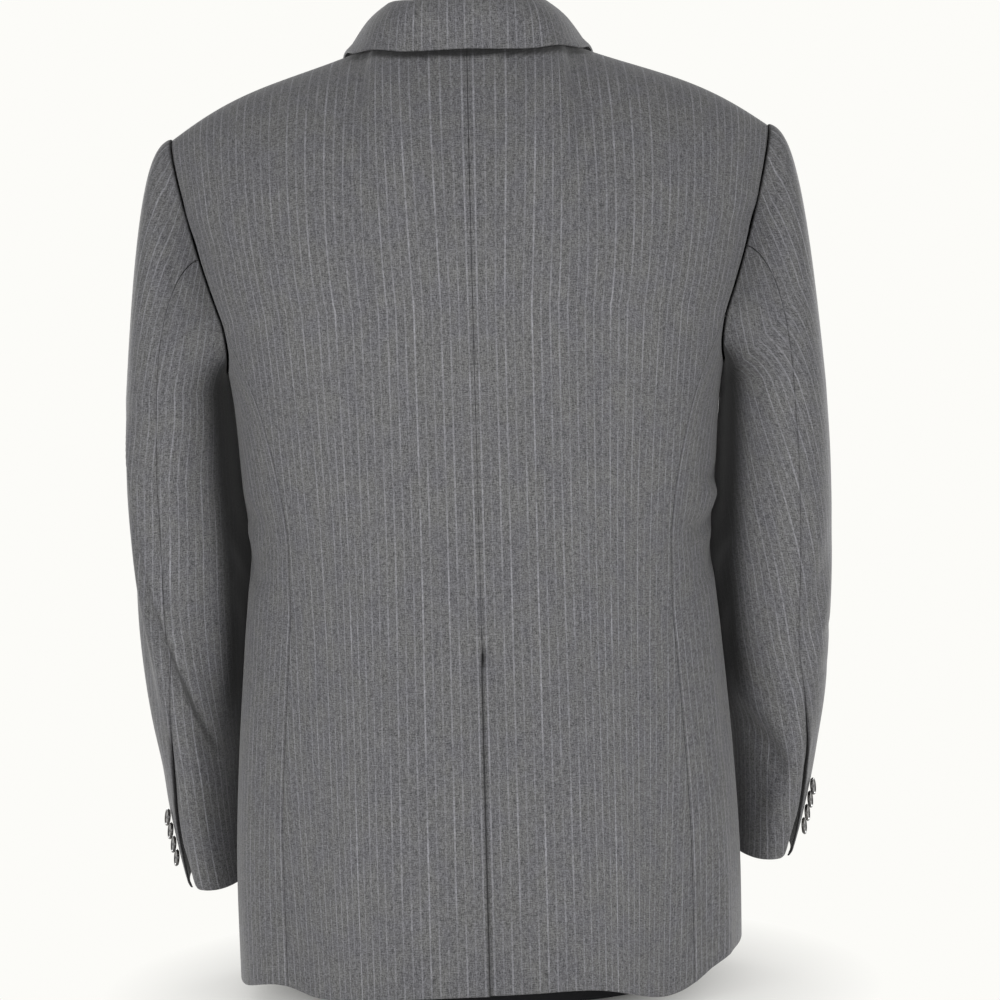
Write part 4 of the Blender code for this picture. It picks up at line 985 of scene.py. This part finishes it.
for side, name in SIDES:
    across = shares(54, 0.205)
    heights = heights_of(130, 56)
    width, height = np.meshgrid(across, heights)
    grid = panel_point(side, width, height, BACK)
    _, angle = panel_angle(side, np.minimum(height, 1.0), BACK, back_x(width))
    grid = dent_yoke(grid, -side, girth_at(angle), heights)
    if side == RIGHT:
        near = 1 - ease(width, *VENT_SHARE)
        sunk = (WALL + 2 * GAP) * near * (1 - ease(grid[..., 2], VENT_TOP, VENT_TOP + VENT_EASE))
        grid[..., 1] -= sunk
        lap = 1 - ease(grid[:, 0, 2], VENT_TOP - 1.3 * VENT_EASE, VENT_TOP - 0.3 * VENT_EASE)
        reach = VENT_UNDERLAP * (1 - ease(width, 0.0, 0.06)) * lap[:, None]
    u, v = grain_of(grid, heights, np.zeros(len(heights)), side)
    # Painted shadow under the collar's edge darkens the back just below it.
    to_collar = np.linalg.norm(grid[:, :, None] - collar_rim, axis=3).min(2)
    shade = np.exp(-(to_collar / COLLAR_SHADOW) ** 6) * ease(heights, 1.6, 1.7)[:, None]
    if side == RIGHT:
        # Painted shadow that the left back's edge throws on the right back, below the vent's top.
        below_vent = 1 - ease(grid[:, :1, 2], VENT_TOP, VENT_TOP + 0.004)
        shade = np.maximum(shade, 0.9 * below_vent * np.exp(-(edge_distances(grid)[0] / VENT_SHADOW) ** 2))
        grid[..., 0] += reach
        grid[..., 1] -= 0.05 * reach
        u = u - reach
    above_vent = ease(grid[:, :1, 2], VENT_TOP - 0.01, VENT_TOP + 0.01)
    outer_roll, outer_line = armhole_edge(heights)
    cloth_piece(f"back_{name}", grid, -side, WALL, u, v, shade=shade,
                rolls=(FREE_EDGE + (0.5 * SEAM_EDGE - FREE_EDGE) * above_vent, outer_roll, FREE_EDGE, SEAM_EDGE),
                seams=(1 - above_vent, outer_line, 0, SHOULDER_LINE))

# %% Side panels
SIDE_STRIPES = 0.214      # the side panel's stripes carry on about where the back's end
SIDE_FOOT = np.array((0.0, 0.0003, 0.0008, 0.0015, 0.0026, 0.0042))      # its lowest rows, as shares of its height

for side, name in SIDES:
    across = shares(26, 0.110)
    heights = np.concatenate([SIDE_FOOT, np.linspace(0.009, 1, 128)])
    width, height = np.meshgrid(across, heights)
    grid = side_point(side, width, height)
    first, _, low, _ = edge_distances(grid)
    cloth_piece(f"side_{name}", grid, -side, WALL, first + SIDE_STRIPES, low,
                rolls=(SEAM_EDGE, SEAM_EDGE, FREE_EDGE, FREE_EDGE), seams=(SIDE_LINE, SIDE_LINE, 0, 0.8))

# %% Fronts
for side, name in SIDES:
    across = shares(50, 0.200)
    heights = heights_of(130, 50)
    width, height = np.meshgrid(across, heights)
    grid = panel_point(side, width, height, FRONT)
    u, v = grain_of(grid, heights, side * grid[:, 0, 0], side)
    outer_roll, outer_line = armhole_edge(heights)
    cloth_piece(f"front_{name}", grid, side, WALL, u, v, rolls=(FREE_EDGE, outer_roll, FREE_EDGE, SEAM_EDGE),
                seams=(0, outer_line, 0, SHOULDER_LINE))

# %% [markdown]
# ## Lapels and collar
# A lapel is the front's own cloth turned back on its roll line, so it is made from the front's points,
# raised by one layer and puffed a little where it rolls. The collar has a stand that rises from the neck
# seam and a fall that turns down over it. Its stripes run straight down at the centre back. A cloth
# simulation could turn both over, but it takes long and might leave the shape of the solids.

# %% Lapels


def lapel_surface(side, share, height):
    """Share 0 is the roll line, 1 the outer edge; height 0 the break, 1 the gorge."""
    row = smooth(LAPEL, height)
    low = (BREAK + 0.010 - hem_height(90)) / (SPLIT - hem_height(90))
    station = low + (GORGE - low) * height
    width = np.linalg.norm(panel_point(side, np.ones_like(station), station, FRONT)
                           - panel_point(side, np.zeros_like(station), station, FRONT), axis=-1)
    return panel_point(side, share * row.width / width, station, FRONT), row.puff


for side, name in SIDES:
    across = shares(24, 0.070, first=False)
    heights = LAPEL_START[side] + (1 - LAPEL_START[side]) * shares(90, 0.36)
    width, height = np.meshgrid(across, heights)
    base, puff = lapel_surface(side, width, height)
    lift = LAPEL_LIFT[side] + puff * np.sin(np.pi * width) + WALL
    grid = base + grid_normals(base, side) * lift[..., None]
    first, _, low, _ = edge_distances(grid)
    cloth_piece(f"lapel_{name}", grid, side, WALL, first, low,
                seams=(0, 0, 0, 0.6))

# %% Collar


def collar_lines(share):
    """Seam, fold and edge of the collar, from the right front end (-1) to the left one (1)."""
    row = smooth(COLLAR, np.abs(share), "share")
    side = np.sign(share)
    return (vector(side * row.seam_x, row.seam_y, row.seam_z),
            vector(side * row.fold_x, row.fold_y, row.fold_z),
            vector(side * row.edge_x, row.edge_y, row.edge_z))


def collar_away(fold):
    return unit(vector(fold[..., 0], fold[..., 1] * 0.8, 0 * fold[..., 0]))


stand_shares = np.linspace(-STAND_END, STAND_END, 101)
seam, fold, _ = collar_lines(stand_shares)
rise = np.linspace(0, 1, 14)[:, None, None]
stand = seam[None] + (fold - seam)[None] * STAND_RISE * rise
first, _, low, _ = edge_distances(stand)
cloth_piece("collar_stand", stand, -1, WALL,
            first - first[:, 50:51] + STRIPE_PITCH / 2, low)

fall_shares = 2 * shares(150, 0.50) - 1
seam, fold, edge_line = collar_lines(fall_shares)
down = shares(30, 0.055)[:, None]
away = collar_away(fold)[None]
t = down[..., None]
swell = FALL_SWELL * np.sin(np.pi * np.minimum(t * 1.2, 1))
turned = ease(t, 0.40, 0.60)
out = FALL_FACE[0][0] * (1 - turned) + FALL_FACE[1][0] * turned
up = FALL_FACE[0][1] * (1 - turned) + FALL_FACE[1][1] * turned
face = unit(away * out + np.array((0, 0, 1.0)) * up)
fall = fold[None] + (edge_line - fold)[None] * t + away * (WALL + GAP * 4) * (1 - t) + face * (swell + WALL)
first, _, low, _ = edge_distances(fall)
middle = first[:, fall.shape[1] // 2][:, None]
cloth_piece("collar_fall", fall, 1, WALL, first - middle + STRIPE_PITCH / 2, low)

# %% [markdown]
# ## Sleeves
# A blazer's sleeve has two parts. The top sleeve lies outside and in front, the under sleeve towards the
# body, and the hind seam between them runs down to the cuff's buttons. Below the armhole the sleeve is a
# tube of ellipses that bends forward at the elbow; the head is a curve from the tube to the armhole. A
# bent cylinder would be quicker, but its end wouldn't meet the armhole, so the points are worked out.

# %% Sleeve surface


def armhole(side, turn):
    """Armhole edge: turn 0 is the shoulder tip, 120 and 240 the side seams, 180 the armpit."""
    turn = np.asarray(turn, float) % 360
    from_back = panel_point(side, np.ones_like(turn), 2 - np.minimum(turn, 120) / 120, BACK)
    from_side = side_point(side, np.clip((turn - 120) / 120, 0, 1), np.ones_like(turn))
    from_front = panel_point(side, np.ones_like(turn), 1 + (np.maximum(turn, 240) - 240) / 120, FRONT)
    edge = np.where((turn < 240)[..., None], from_side, from_front)
    return np.where((turn <= 120)[..., None], from_back, edge)


def sleeve_ring(side, z, turn):
    """Points of the sleeve below the armhole; turn 0 is outward, 90 back, 180 inward."""
    row = smooth(SLEEVE, z)
    angle, twist = np.radians(turn), np.radians(row.twist)
    wide, deep = row.half_width * np.cos(angle), row.half_depth * np.sin(angle)
    away = unit(np.stack([np.cos(angle) / row.half_width, np.sin(angle) / row.half_depth], -1))
    out = np.zeros(np.shape(z))
    for fold in SLEEVE_FOLDS:
        if fold.side == side:
            along = (fold.z_top - z) / (fold.z_top - fold.z_low)
            centre = fold.turn_top + (fold.turn_low - fold.turn_top) * along
            out = out + fold.out * bump(apart(turn, centre) / fold.half_turn) * bump(2 * along - 1)
    wide, deep = wide + away[..., 0] * out, deep + away[..., 1] * out
    x = wide * np.cos(twist) - deep * np.sin(twist)
    y = wide * np.sin(twist) + deep * np.cos(twist)
    slope = (smooth(SLEEVE, z + CUFF_STEP).y - smooth(SLEEVE, z - CUFF_STEP).y) / (2 * CUFF_STEP)
    shift = 0.0 if side == LEFT else row.right_shift
    cuff = 1 - ease(z, *CUFF_FADE)
    return vector(side * (row.x + x + shift), row.y + y, z - slope * y * cuff + CUFF_LIFT[side] * cuff)


def sleeve_surface(side, turn, height):
    """Height 0 is the cuff, 1 the first full ring below the armhole, 2 the armhole."""
    cuff_z = SLEEVE[0].z
    low = sleeve_ring(side, cuff_z + (SLEEVE_START - cuff_z) * np.minimum(height, 1), turn)
    end = sleeve_ring(side, np.full_like(height, SLEEVE_START), turn)
    half = np.radians(turn) / 2
    cos2 = np.cos(half) ** 2
    start = armhole(side, turn) + vector(side * GAP * 2, 0, ROPE * np.maximum(np.cos(2 * half), 0))
    reach = HEAD_REACH * cos2
    leave = start + vector(side * reach, HEAD_SPREAD * reach * np.sin(2 * half), -HEAD_DROP * reach)
    lift = (start[..., 2] - end[..., 2]) * HEAD_RISE
    arrive = end + vector(-side * HEAD_LEAN * lift * cos2, 0, lift)
    t = (2 - height)[..., None]
    high = start * (1 - t) ** 3 + leave * 3 * t * (1 - t) ** 2 + arrive * 3 * t**2 * (1 - t) + end * t**3
    return np.where((height <= 1)[..., None], low, high)


def hind_seam(height):
    return HIND_CUFF + (HIND_SEAM - HIND_CUFF) * ease(height, 0, HIND_FADE)


print("left cuff", np.round(sleeve_ring(LEFT, np.array(0.095), np.array(0.0)), 4))

# %% Sleeves
SLEEVE_LEAN = {LEFT: 0.08, RIGHT: 0.30}
LEAN_BELOW = {LEFT: 0.42, RIGHT: 0.56}
VENT_LAP = 0.0012         # how far the top sleeve stands over the under sleeve along the hind seam
VENT_LAP_HEIGHT = (0.30, 0.42)
INNER_PUSH = {LEFT: 0.0015, RIGHT: 0.0075}        # the inner side hangs against the skirt
PAINTED_SHADOW_TURNS = {LEFT: (130, 158), RIGHT: (132, 160)}     # turns over which it goes into the body's shadow
INNER_TURN, INNER_AT = (186, 62), (0.25, 0.22)    # the middle and half width of that side, round and along
NOTCH_RISE, NOTCH_WIDTH, NOTCH_HEIGHT = 0.013, 0.012, 0.05
HEAD_LENGTH = 0.2
HEAD_SLANT = 0.187        # how far the sleeve's stripes lean in on the head


def turn_seen(side, points, turn):
    """Turn round the sleeve's upper ring at which points lie, the ring leaning in with height."""
    row = SLEEVE[-1]
    centre = row.x + (row.right_shift if side == RIGHT else 0.0) - HEAD_SLANT * (points[..., 2] - row.z)
    seen = np.degrees(np.arctan2((points[..., 1] - row.y) / row.half_depth,
                                 (side * points[..., 0] - centre) / row.half_width))
    return turn + apart(seen, turn)


ring_angle, ring_arc = {}, {}
for side in (LEFT, RIGHT):
    turns = np.linspace(-200, 400, 1201)
    ring = sleeve_ring(side, np.full(1201, SLEEVE_START), turns)
    arc = np.concatenate([[0], np.cumsum(np.linalg.norm(np.diff(ring[:, :2], axis=0), axis=1))])
    ring_angle[side] = turn_seen(side, ring, turns)
    ring_arc[side] = arc - np.interp(0.0, turns, arc)

for side, name in SIDES:
    for part, fore, columns in (("top", FORE_SEAM - 360, 120), ("under", FORE_SEAM, 84)):
        across = shares(columns, 0.19 if part == "top" else 0.14)
        heights = np.concatenate([EDGE_STEPS / 0.4, np.linspace(0.009, 1, 150, endpoint=False),
                                  1 + np.linspace(0, 0.985, 46), 2 - EDGE_STEPS[::-1] / 0.21])
        width, height = np.meshgrid(across, heights)
        hind = hind_seam(height)
        first_turn, last_turn = np.minimum(fore, hind), np.maximum(fore, hind)
        turn = first_turn + (last_turn - first_turn) * width
        grid = sleeve_surface(side, turn, height)
        normals = grid_normals(grid, side)
        at = np.where(height <= 1, SLEEVE[0].z + (SLEEVE_START - SLEEVE[0].z) * height,
                      SLEEVE_START + (height - 1) * HEAD_LENGTH)
        depth = sleeve_crease_depth(side, turn, at)
        fold_shadow = np.zeros(turn.shape)
        if side == LEFT:
            rise, fold_shadow = sharp_fold(turn, at)
            depth = depth + rise
        first, last, low, _ = edge_distances(grid)
        seam_distance = last if part == "top" else first
        low_part = 1 - ease(height, *VENT_LAP_HEIGHT)
        lap = VENT_LAP if part == "top" else -VENT_LAP
        depth = depth + lap * low_part * np.exp(-(seam_distance / 0.006) ** 2)
        inner = INNER_PUSH[side] * bump(apart(turn, INNER_TURN[0]) / INNER_TURN[1])
        depth = depth + inner * bump((at - INNER_AT[0]) / INNER_AT[1])
        depth = depth * ease(2 - height, 0.0, 0.04)
        grid = grid + normals * depth[..., None]
        if part == "under":
            notch = NOTCH_RISE * (1 - ease(seam_distance, 0, NOTCH_WIDTH)) * (1 - ease(low, 0.0, NOTCH_HEIGHT))
            grid[..., 2] += notch
        level = np.linalg.norm(np.diff(grid[..., :2], axis=1), axis=2)
        level = np.concatenate([np.zeros((len(heights), 1)), np.cumsum(level, 1)], 1)
        if part == "top":
            ridge = np.array([np.interp(0.0, row_turns, row) for row_turns, row in zip(turn, level)])
            around = level - ridge[:, None]
            at_hind = around[:, -1:]
        else:
            around = at_hind + level
        head_angle = turn_seen(side, grid, turn)
        around = np.where(height > 1, np.interp(head_angle, ring_angle[side], ring_arc[side]), around)
        split_row = int(np.argmin(np.abs(heights - 1.0)))
        v = np.where(height > 1, low[split_row] + grid[..., 2] - grid[split_row, :, 2], low)
        lean = SLEEVE_LEAN[side] * np.maximum(LEAN_BELOW[side] - at, 0)
        u = around + lean + STRIPE_PITCH * 0.2
        # Painted shadow: the sleeve's inner side is darkened where the body shades it, and along the sharp fold.
        painted_sleeve_shadow = ease(turn, *PAINTED_SHADOW_TURNS[side]) * ease(at, 0.20, 0.27) * (1 - ease(turn, 225, 250))
        painted_sleeve_shadow = np.maximum(painted_sleeve_shadow, fold_shadow)
        slit = 1 - ease(height[:, :1], 0.22, 0.42)
        hind_roll, hind_line = SEAM_EDGE + (FREE_EDGE - SEAM_EDGE) * slit, 0.15 + 0.85 * slit
        rolls, lines = (SEAM_EDGE, hind_roll), (0.25, hind_line)
        if part == "under":
            rolls, lines = rolls[::-1], lines[::-1]
        cloth_piece(f"sleeve_{name}_{part}", grid, side, SLEEVE_WALL, u, v,
                    shade=painted_sleeve_shadow,
                    rolls=(*rolls, FREE_EDGE, FREE_EDGE), seams=(*lines, 0, 1))

# %% [markdown]
# ## Pockets
# A flap pocket has a jet, the narrow folded edge of its slit, and a flap that hangs out of it. Both are
# made from the body's own points moved outward, so they follow every fold beneath. The breast pocket has
# a slanted welt. The flap on the right stands off a little, as a flap does that was lifted often.

# %% Flaps and jets


def body_strip(side, top, drop, lift_low, columns, rows):
    """Strip on the body from height `top` down by `drop`, between the angles of the flap's ends."""
    across, down = np.meshgrid(shares(columns, 0.115), shares(rows, max(drop, 0.02)))
    angle = FLAP_FROM + (FLAP_TO - FLAP_FROM) * across
    angle = angle if side == LEFT else 180 - angle
    z = top - drop * down
    away = ring_outline(smooth(BODY, z), z, angle)[1]
    return body_ring(z, angle) + away * (2 * GAP + lift_low * down + WALL)[..., None]


for side, name in SIDES:
    jet = body_strip(side, FLAP_TOP + GAP + JET_DEPTH, JET_DEPTH, 0.0, 40, 8)
    first, _, low, _ = edge_distances(jet)
    jet_piece = cloth_piece(f"jet_{name}", jet, -side, WALL, low, first,
                            rolls=(SEAM_EDGE,) * 4, seams=(0, 0, 0.8, 0.6))
    flap = body_strip(side, FLAP_TOP, FLAP_DROP, FLAP_FLARE[side], 40, 26)
    first, _, low, _ = edge_distances(flap)
    cloth_piece(f"flap_{name}", flap, -side, WALL, first, low,
                seams=(0, 0, 0.6, 0))

# %% Breast welt
across, up = np.meshgrid(shares(36, 0.09), shares(14, WELT_DEPTH))
x = WELT_X[0] + (WELT_X[1] - WELT_X[0]) * across
z = WELT_Z + WELT_RISE * across + WELT_DEPTH * up
angle = angle_at_x(z, x, FRONT)
away = ring_outline(smooth(BODY, z), z, angle)[1]
welt = body_ring(z, angle) + away * (WELT_LIFT + WALL)
first, _, low, _ = edge_distances(welt)
cloth_piece("breast_welt", welt, 1, WALL, first, low,
            seams=(0.6, 0.6, 0.6, 0.8))

# %% [markdown]
# ## Buttons
# The buttons are dark, marbled horn with a raised rim and four holes, sewn on with grey thread. One is
# modelled from a cylinder: its top face is inset for the rim, sunk for the dish, and its edges are
# bevelled; four small cylinders cut the holes. Copies are turned and moved into place as meshes. Those on
# the cuffs overlap like roof tiles, so each is tilted.

# %% Button finish
HORN_DARK, HORN_PALE = (0.012, 0.011, 0.011), (0.300, 0.280, 0.250)
button_material, tree, shader = new_material("marbled_horn", 0.22, Coat_Weight=0.35, Coat_Roughness=0.12)
spot = object_place(tree)
swirl = noise(tree, spot, (0.0060, 0.0060, 0.0030), 4.0, 0.6, 5.0)
veins = calc(tree, "ABSOLUTE", calc(tree, "SUBTRACT", swirl, 0.5))
vein_mask = remap(tree, veins, 0.0, 0.030, 1.0, 0.0, smooth_ends=True)
patches = remap(tree, noise(tree, spot, (0.010, 0.010, 0.010), 2.0, 0.5, 9.0), 0.50, 0.66)
vein_mask = calc(tree, "MAXIMUM", calc(tree, "MULTIPLY", vein_mask, 0.22), calc(tree, "MULTIPLY", patches, 0.20))
tree.links.new(blend_colours(tree, vein_mask, HORN_DARK, HORN_PALE), shader.inputs["Base Color"])
tree.links.new(remap(tree, swirl, 0.3, 0.7, 0.16, 0.34), shader.inputs["Roughness"])

thread_material, tree, shader = new_material("button_thread", 0.7, Specular_IOR_Level=0.3)
spot = object_place(tree)
plies = noise(tree, spot, (0.0004, 0.0004, 0.0012), 2.0, 0.6, 2.0)
tree.links.new(blend_colours(tree, plies, (0.030, 0.030, 0.034), (0.085, 0.085, 0.095)),
               shader.inputs["Base Color"])

# %% Button maker
RIM, SLOPE, DISH, HOLE, HOLE_APART, SOFT = 0.16, 0.08, 0.22, 0.085, 0.20, 0.035      # shares of the radius
HOLES = 4


def make_button(name, size):
    """One button lying on the origin, its face up."""
    radius, thick = size
    bpy.ops.object.select_all(action="DESELECT")
    bpy.ops.mesh.primitive_cylinder_add(vertices=64, radius=radius * BUTTON_BASE, depth=thick,
                                        location=(0, 0, thick / 2))
    button = bpy.context.object
    button.name = name
    bpy.ops.object.transform_apply(location=True, rotation=True, scale=True)
    bpy.ops.object.mode_set(mode="EDIT")
    bpy.ops.mesh.select_mode(type="FACE")
    bpy.ops.mesh.select_all(action="DESELECT")
    bpy.ops.object.mode_set(mode="OBJECT")
    for face in button.data.polygons:
        face.select = face.normal.z > 0.9
    bpy.ops.object.mode_set(mode="EDIT")
    bpy.ops.transform.resize(value=(1.0 / BUTTON_BASE, 1.0 / BUTTON_BASE, 1.0))
    bpy.ops.transform.translate(value=(0, 0, -thick * 0.5))
    bpy.ops.mesh.extrude_region_move(TRANSFORM_OT_translate={"value": (0, 0, thick * 0.5)})
    bpy.ops.transform.resize(value=(0.93, 0.93, 1.0))
    bpy.ops.mesh.inset(thickness=radius * RIM, depth=0)
    bpy.ops.mesh.inset(thickness=radius * SLOPE, depth=-radius * DISH * 0.4)
    bpy.ops.object.mode_set(mode="OBJECT")
    soften = button.modifiers.new("soft edges", "BEVEL")
    soften.width = radius * SOFT
    soften.segments = 3
    soften.limit_method = "ANGLE"
    soften.angle_limit = math.radians(25)
    bpy.ops.object.modifier_apply(modifier=soften.name)
    for k in range(HOLES):
        turn = math.radians(45 + 360 / HOLES * k)
        at = (radius * HOLE_APART * math.cos(turn), radius * HOLE_APART * math.sin(turn), thick / 2)
        bpy.ops.object.select_all(action="DESELECT")
        bpy.ops.mesh.primitive_cylinder_add(vertices=20, radius=radius * HOLE, depth=thick * 3, location=at)
        drill = bpy.context.object
        bpy.context.view_layer.objects.active = button
        cut = button.modifiers.new("hole", "BOOLEAN")
        cut.operation = "DIFFERENCE"
        cut.object = drill
        bpy.ops.object.modifier_apply(modifier=cut.name)
        bpy.data.objects.remove(drill, do_unlink=True)
    button.data.materials.clear()
    button.data.materials.append(button_material)
    return button


def make_thread(name, size):
    """Two parallel stitches from hole to hole, lying on the button's dish."""
    radius, thick = size
    bars = []
    for k in (-1, 1):
        bpy.ops.object.select_all(action="DESELECT")
        at = (0, k * radius * HOLE_APART * 0.7, thick * 0.94 - radius * DISH * 0.4)
        bpy.ops.mesh.primitive_uv_sphere_add(segments=14, ring_count=8, radius=1.0, location=at)
        bar = bpy.context.object
        bar.scale = (radius * (HOLE_APART * 0.72 + HOLE), radius * HOLE * 0.55, radius * HOLE * 0.6)
        bpy.ops.object.transform_apply(location=True, rotation=True, scale=True)
        bars.append(bar)
    bars[0].select_set(True)
    bars[1].select_set(True)
    bpy.context.view_layer.objects.active = bars[0]
    bpy.ops.object.join()
    thread = bpy.context.object
    thread.name = name
    thread.data.materials.clear()
    thread.data.materials.append(thread_material)
    return thread


patterns = {size: (make_button("button_pattern", size), make_thread("thread_pattern", size))
            for size in (FRONT_BUTTON_SIZE, CUFF_BUTTON_SIZE)}


def sew_button(name, node, size, centre, axis):
    """Copies the pattern button and its thread to a place on the coat."""
    turn = Vector((0, 0, 1)).rotation_difference(Vector(axis)).to_matrix().to_4x4()
    place = Matrix.Translation(Vector(centre) + Vector(CENTRE_SHIFT)) @ turn
    for pattern, prefix in zip(patterns[size], ("horn", "thread")):
        mesh = pattern.data.copy()
        mesh.transform(place)
        mesh.shade_smooth()
        mesh.set_sharp_from_angle(angle=math.radians(35))
        piece = bpy.data.objects.new(f"{prefix}_{name}", mesh)
        scene.collection.objects.link(piece)
        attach(piece, "root")
        if prefix == "horn":
            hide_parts(node)


# %% Sew the buttons on
for number, z in enumerate(FRONT_BUTTONS, 1):
    centre = body_ring(np.array(z), np.array(-90.0), creased=False) + np.array((0, -3 * GAP, 0))
    sew_button(f"front_{number}", f"button_front_{number}", FRONT_BUTTON_SIZE, centre, (0, -1, 0))
tilt = math.radians(CUFF_BUTTON_TILT)
for side, name in SIDES:
    for number in range(CUFF_BUTTONS):
        z = np.array(CUFF_BUTTON_TOP - CUFF_BUTTON_SPACING * number)
        spot = np.array(float(CUFF_BUTTON_TURN))
        thick = CUFF_BUTTON_SIZE[1]
        centre = sleeve_ring(side, z, spot)
        along = unit(sleeve_ring(side, z + thick, spot) - sleeve_ring(side, z - thick, spot))
        around = unit(sleeve_ring(side, z, spot + 4) - sleeve_ring(side, z, spot - 4))
        out = unit(np.cross(around, along)) * side
        axis = unit(out * math.cos(tilt) + along * math.sin(tilt))
        lift = BUTTON_BASE * CUFF_BUTTON_SIZE[0] * math.sin(tilt) + 2 * GAP
        sew_button(f"cuff_{name}_{number + 1}", f"cuff_button_{name}_{number + 1}", CUFF_BUTTON_SIZE,
                   centre + out * lift, axis)
for pair in patterns.values():
    for pattern in pair:
        bpy.data.objects.remove(pattern, do_unlink=True)
print("buttons", len(FRONT_BUTTONS) + 2 * CUFF_BUTTONS)

# %% [markdown]
# ## The torso form
# The form is a smooth shell with a tight black jersey cover. A spun profile would be round, and a torso
# isn't, so it is drawn up ring by ring from a circle, by extruding the top face, and the rings are then
# let out to the form's own widths.

# %% Torso form
cover_material, tree, shader = new_material("black_jersey_cover", 0.85, Specular_IOR_Level=0.2,
                                            Sheen_Weight=0.10, Sheen_Roughness=0.5)
spot = object_place(tree)
knit = noise(tree, spot, (0.0009, 0.0009, 0.0016), 2.0, 0.6, 4.0)
tree.links.new(blend_colours(tree, knit, (0.006, 0.006, 0.007), (0.016, 0.016, 0.018)),
               shader.inputs["Base Color"])
add_relief(tree, shader, knit, 0.3, 0.0003)

FORM_RINGS = np.concatenate([np.linspace(0, 0.66, 45)[1:], np.linspace(0.665, 0.868, 58)])
bpy.ops.object.select_all(action="DESELECT")
bpy.ops.mesh.primitive_circle_add(vertices=96, radius=1.0, fill_type="NGON", location=(0, 0, 0))
torso = bpy.context.object
torso.name = "black_torso_form"
bpy.ops.object.mode_set(mode="EDIT")
bpy.ops.mesh.select_all(action="SELECT")
for low, high in zip(np.concatenate([[0.0], FORM_RINGS]), FORM_RINGS):
    bpy.ops.mesh.extrude_region_move(TRANSFORM_OT_translate={"value": (0, 0, high - low)})
bpy.ops.object.mode_set(mode="OBJECT")
place = np.array([tuple(vertex.co) for vertex in torso.data.vertices])
polar = np.degrees(np.arctan2(place[:, 1], place[:, 0]))
rings = ring_outline(smooth(FORM, place[:, 2]), place[:, 2], polar)[0] + np.array(CENTRE_SHIFT)
torso.data.vertices.foreach_set("co", rings.reshape(-1))
bpy.ops.object.mode_set(mode="EDIT")
bpy.ops.mesh.select_all(action="SELECT")
bpy.ops.mesh.normals_make_consistent(inside=False)
bpy.ops.object.mode_set(mode="OBJECT")
torso.data.shade_smooth()
torso.data.set_sharp_from_angle(angle=math.radians(50))
torso.data.materials.append(cover_material)
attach(torso, "root")
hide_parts("torso_form")
print("form triangles", sum(len(face.vertices) - 2 for face in torso.data.polygons))

# %% [markdown]
# ## Finish
# Last, the selection is cleared.

# %% Finish
bpy.ops.object.select_all(action="DESELECT")
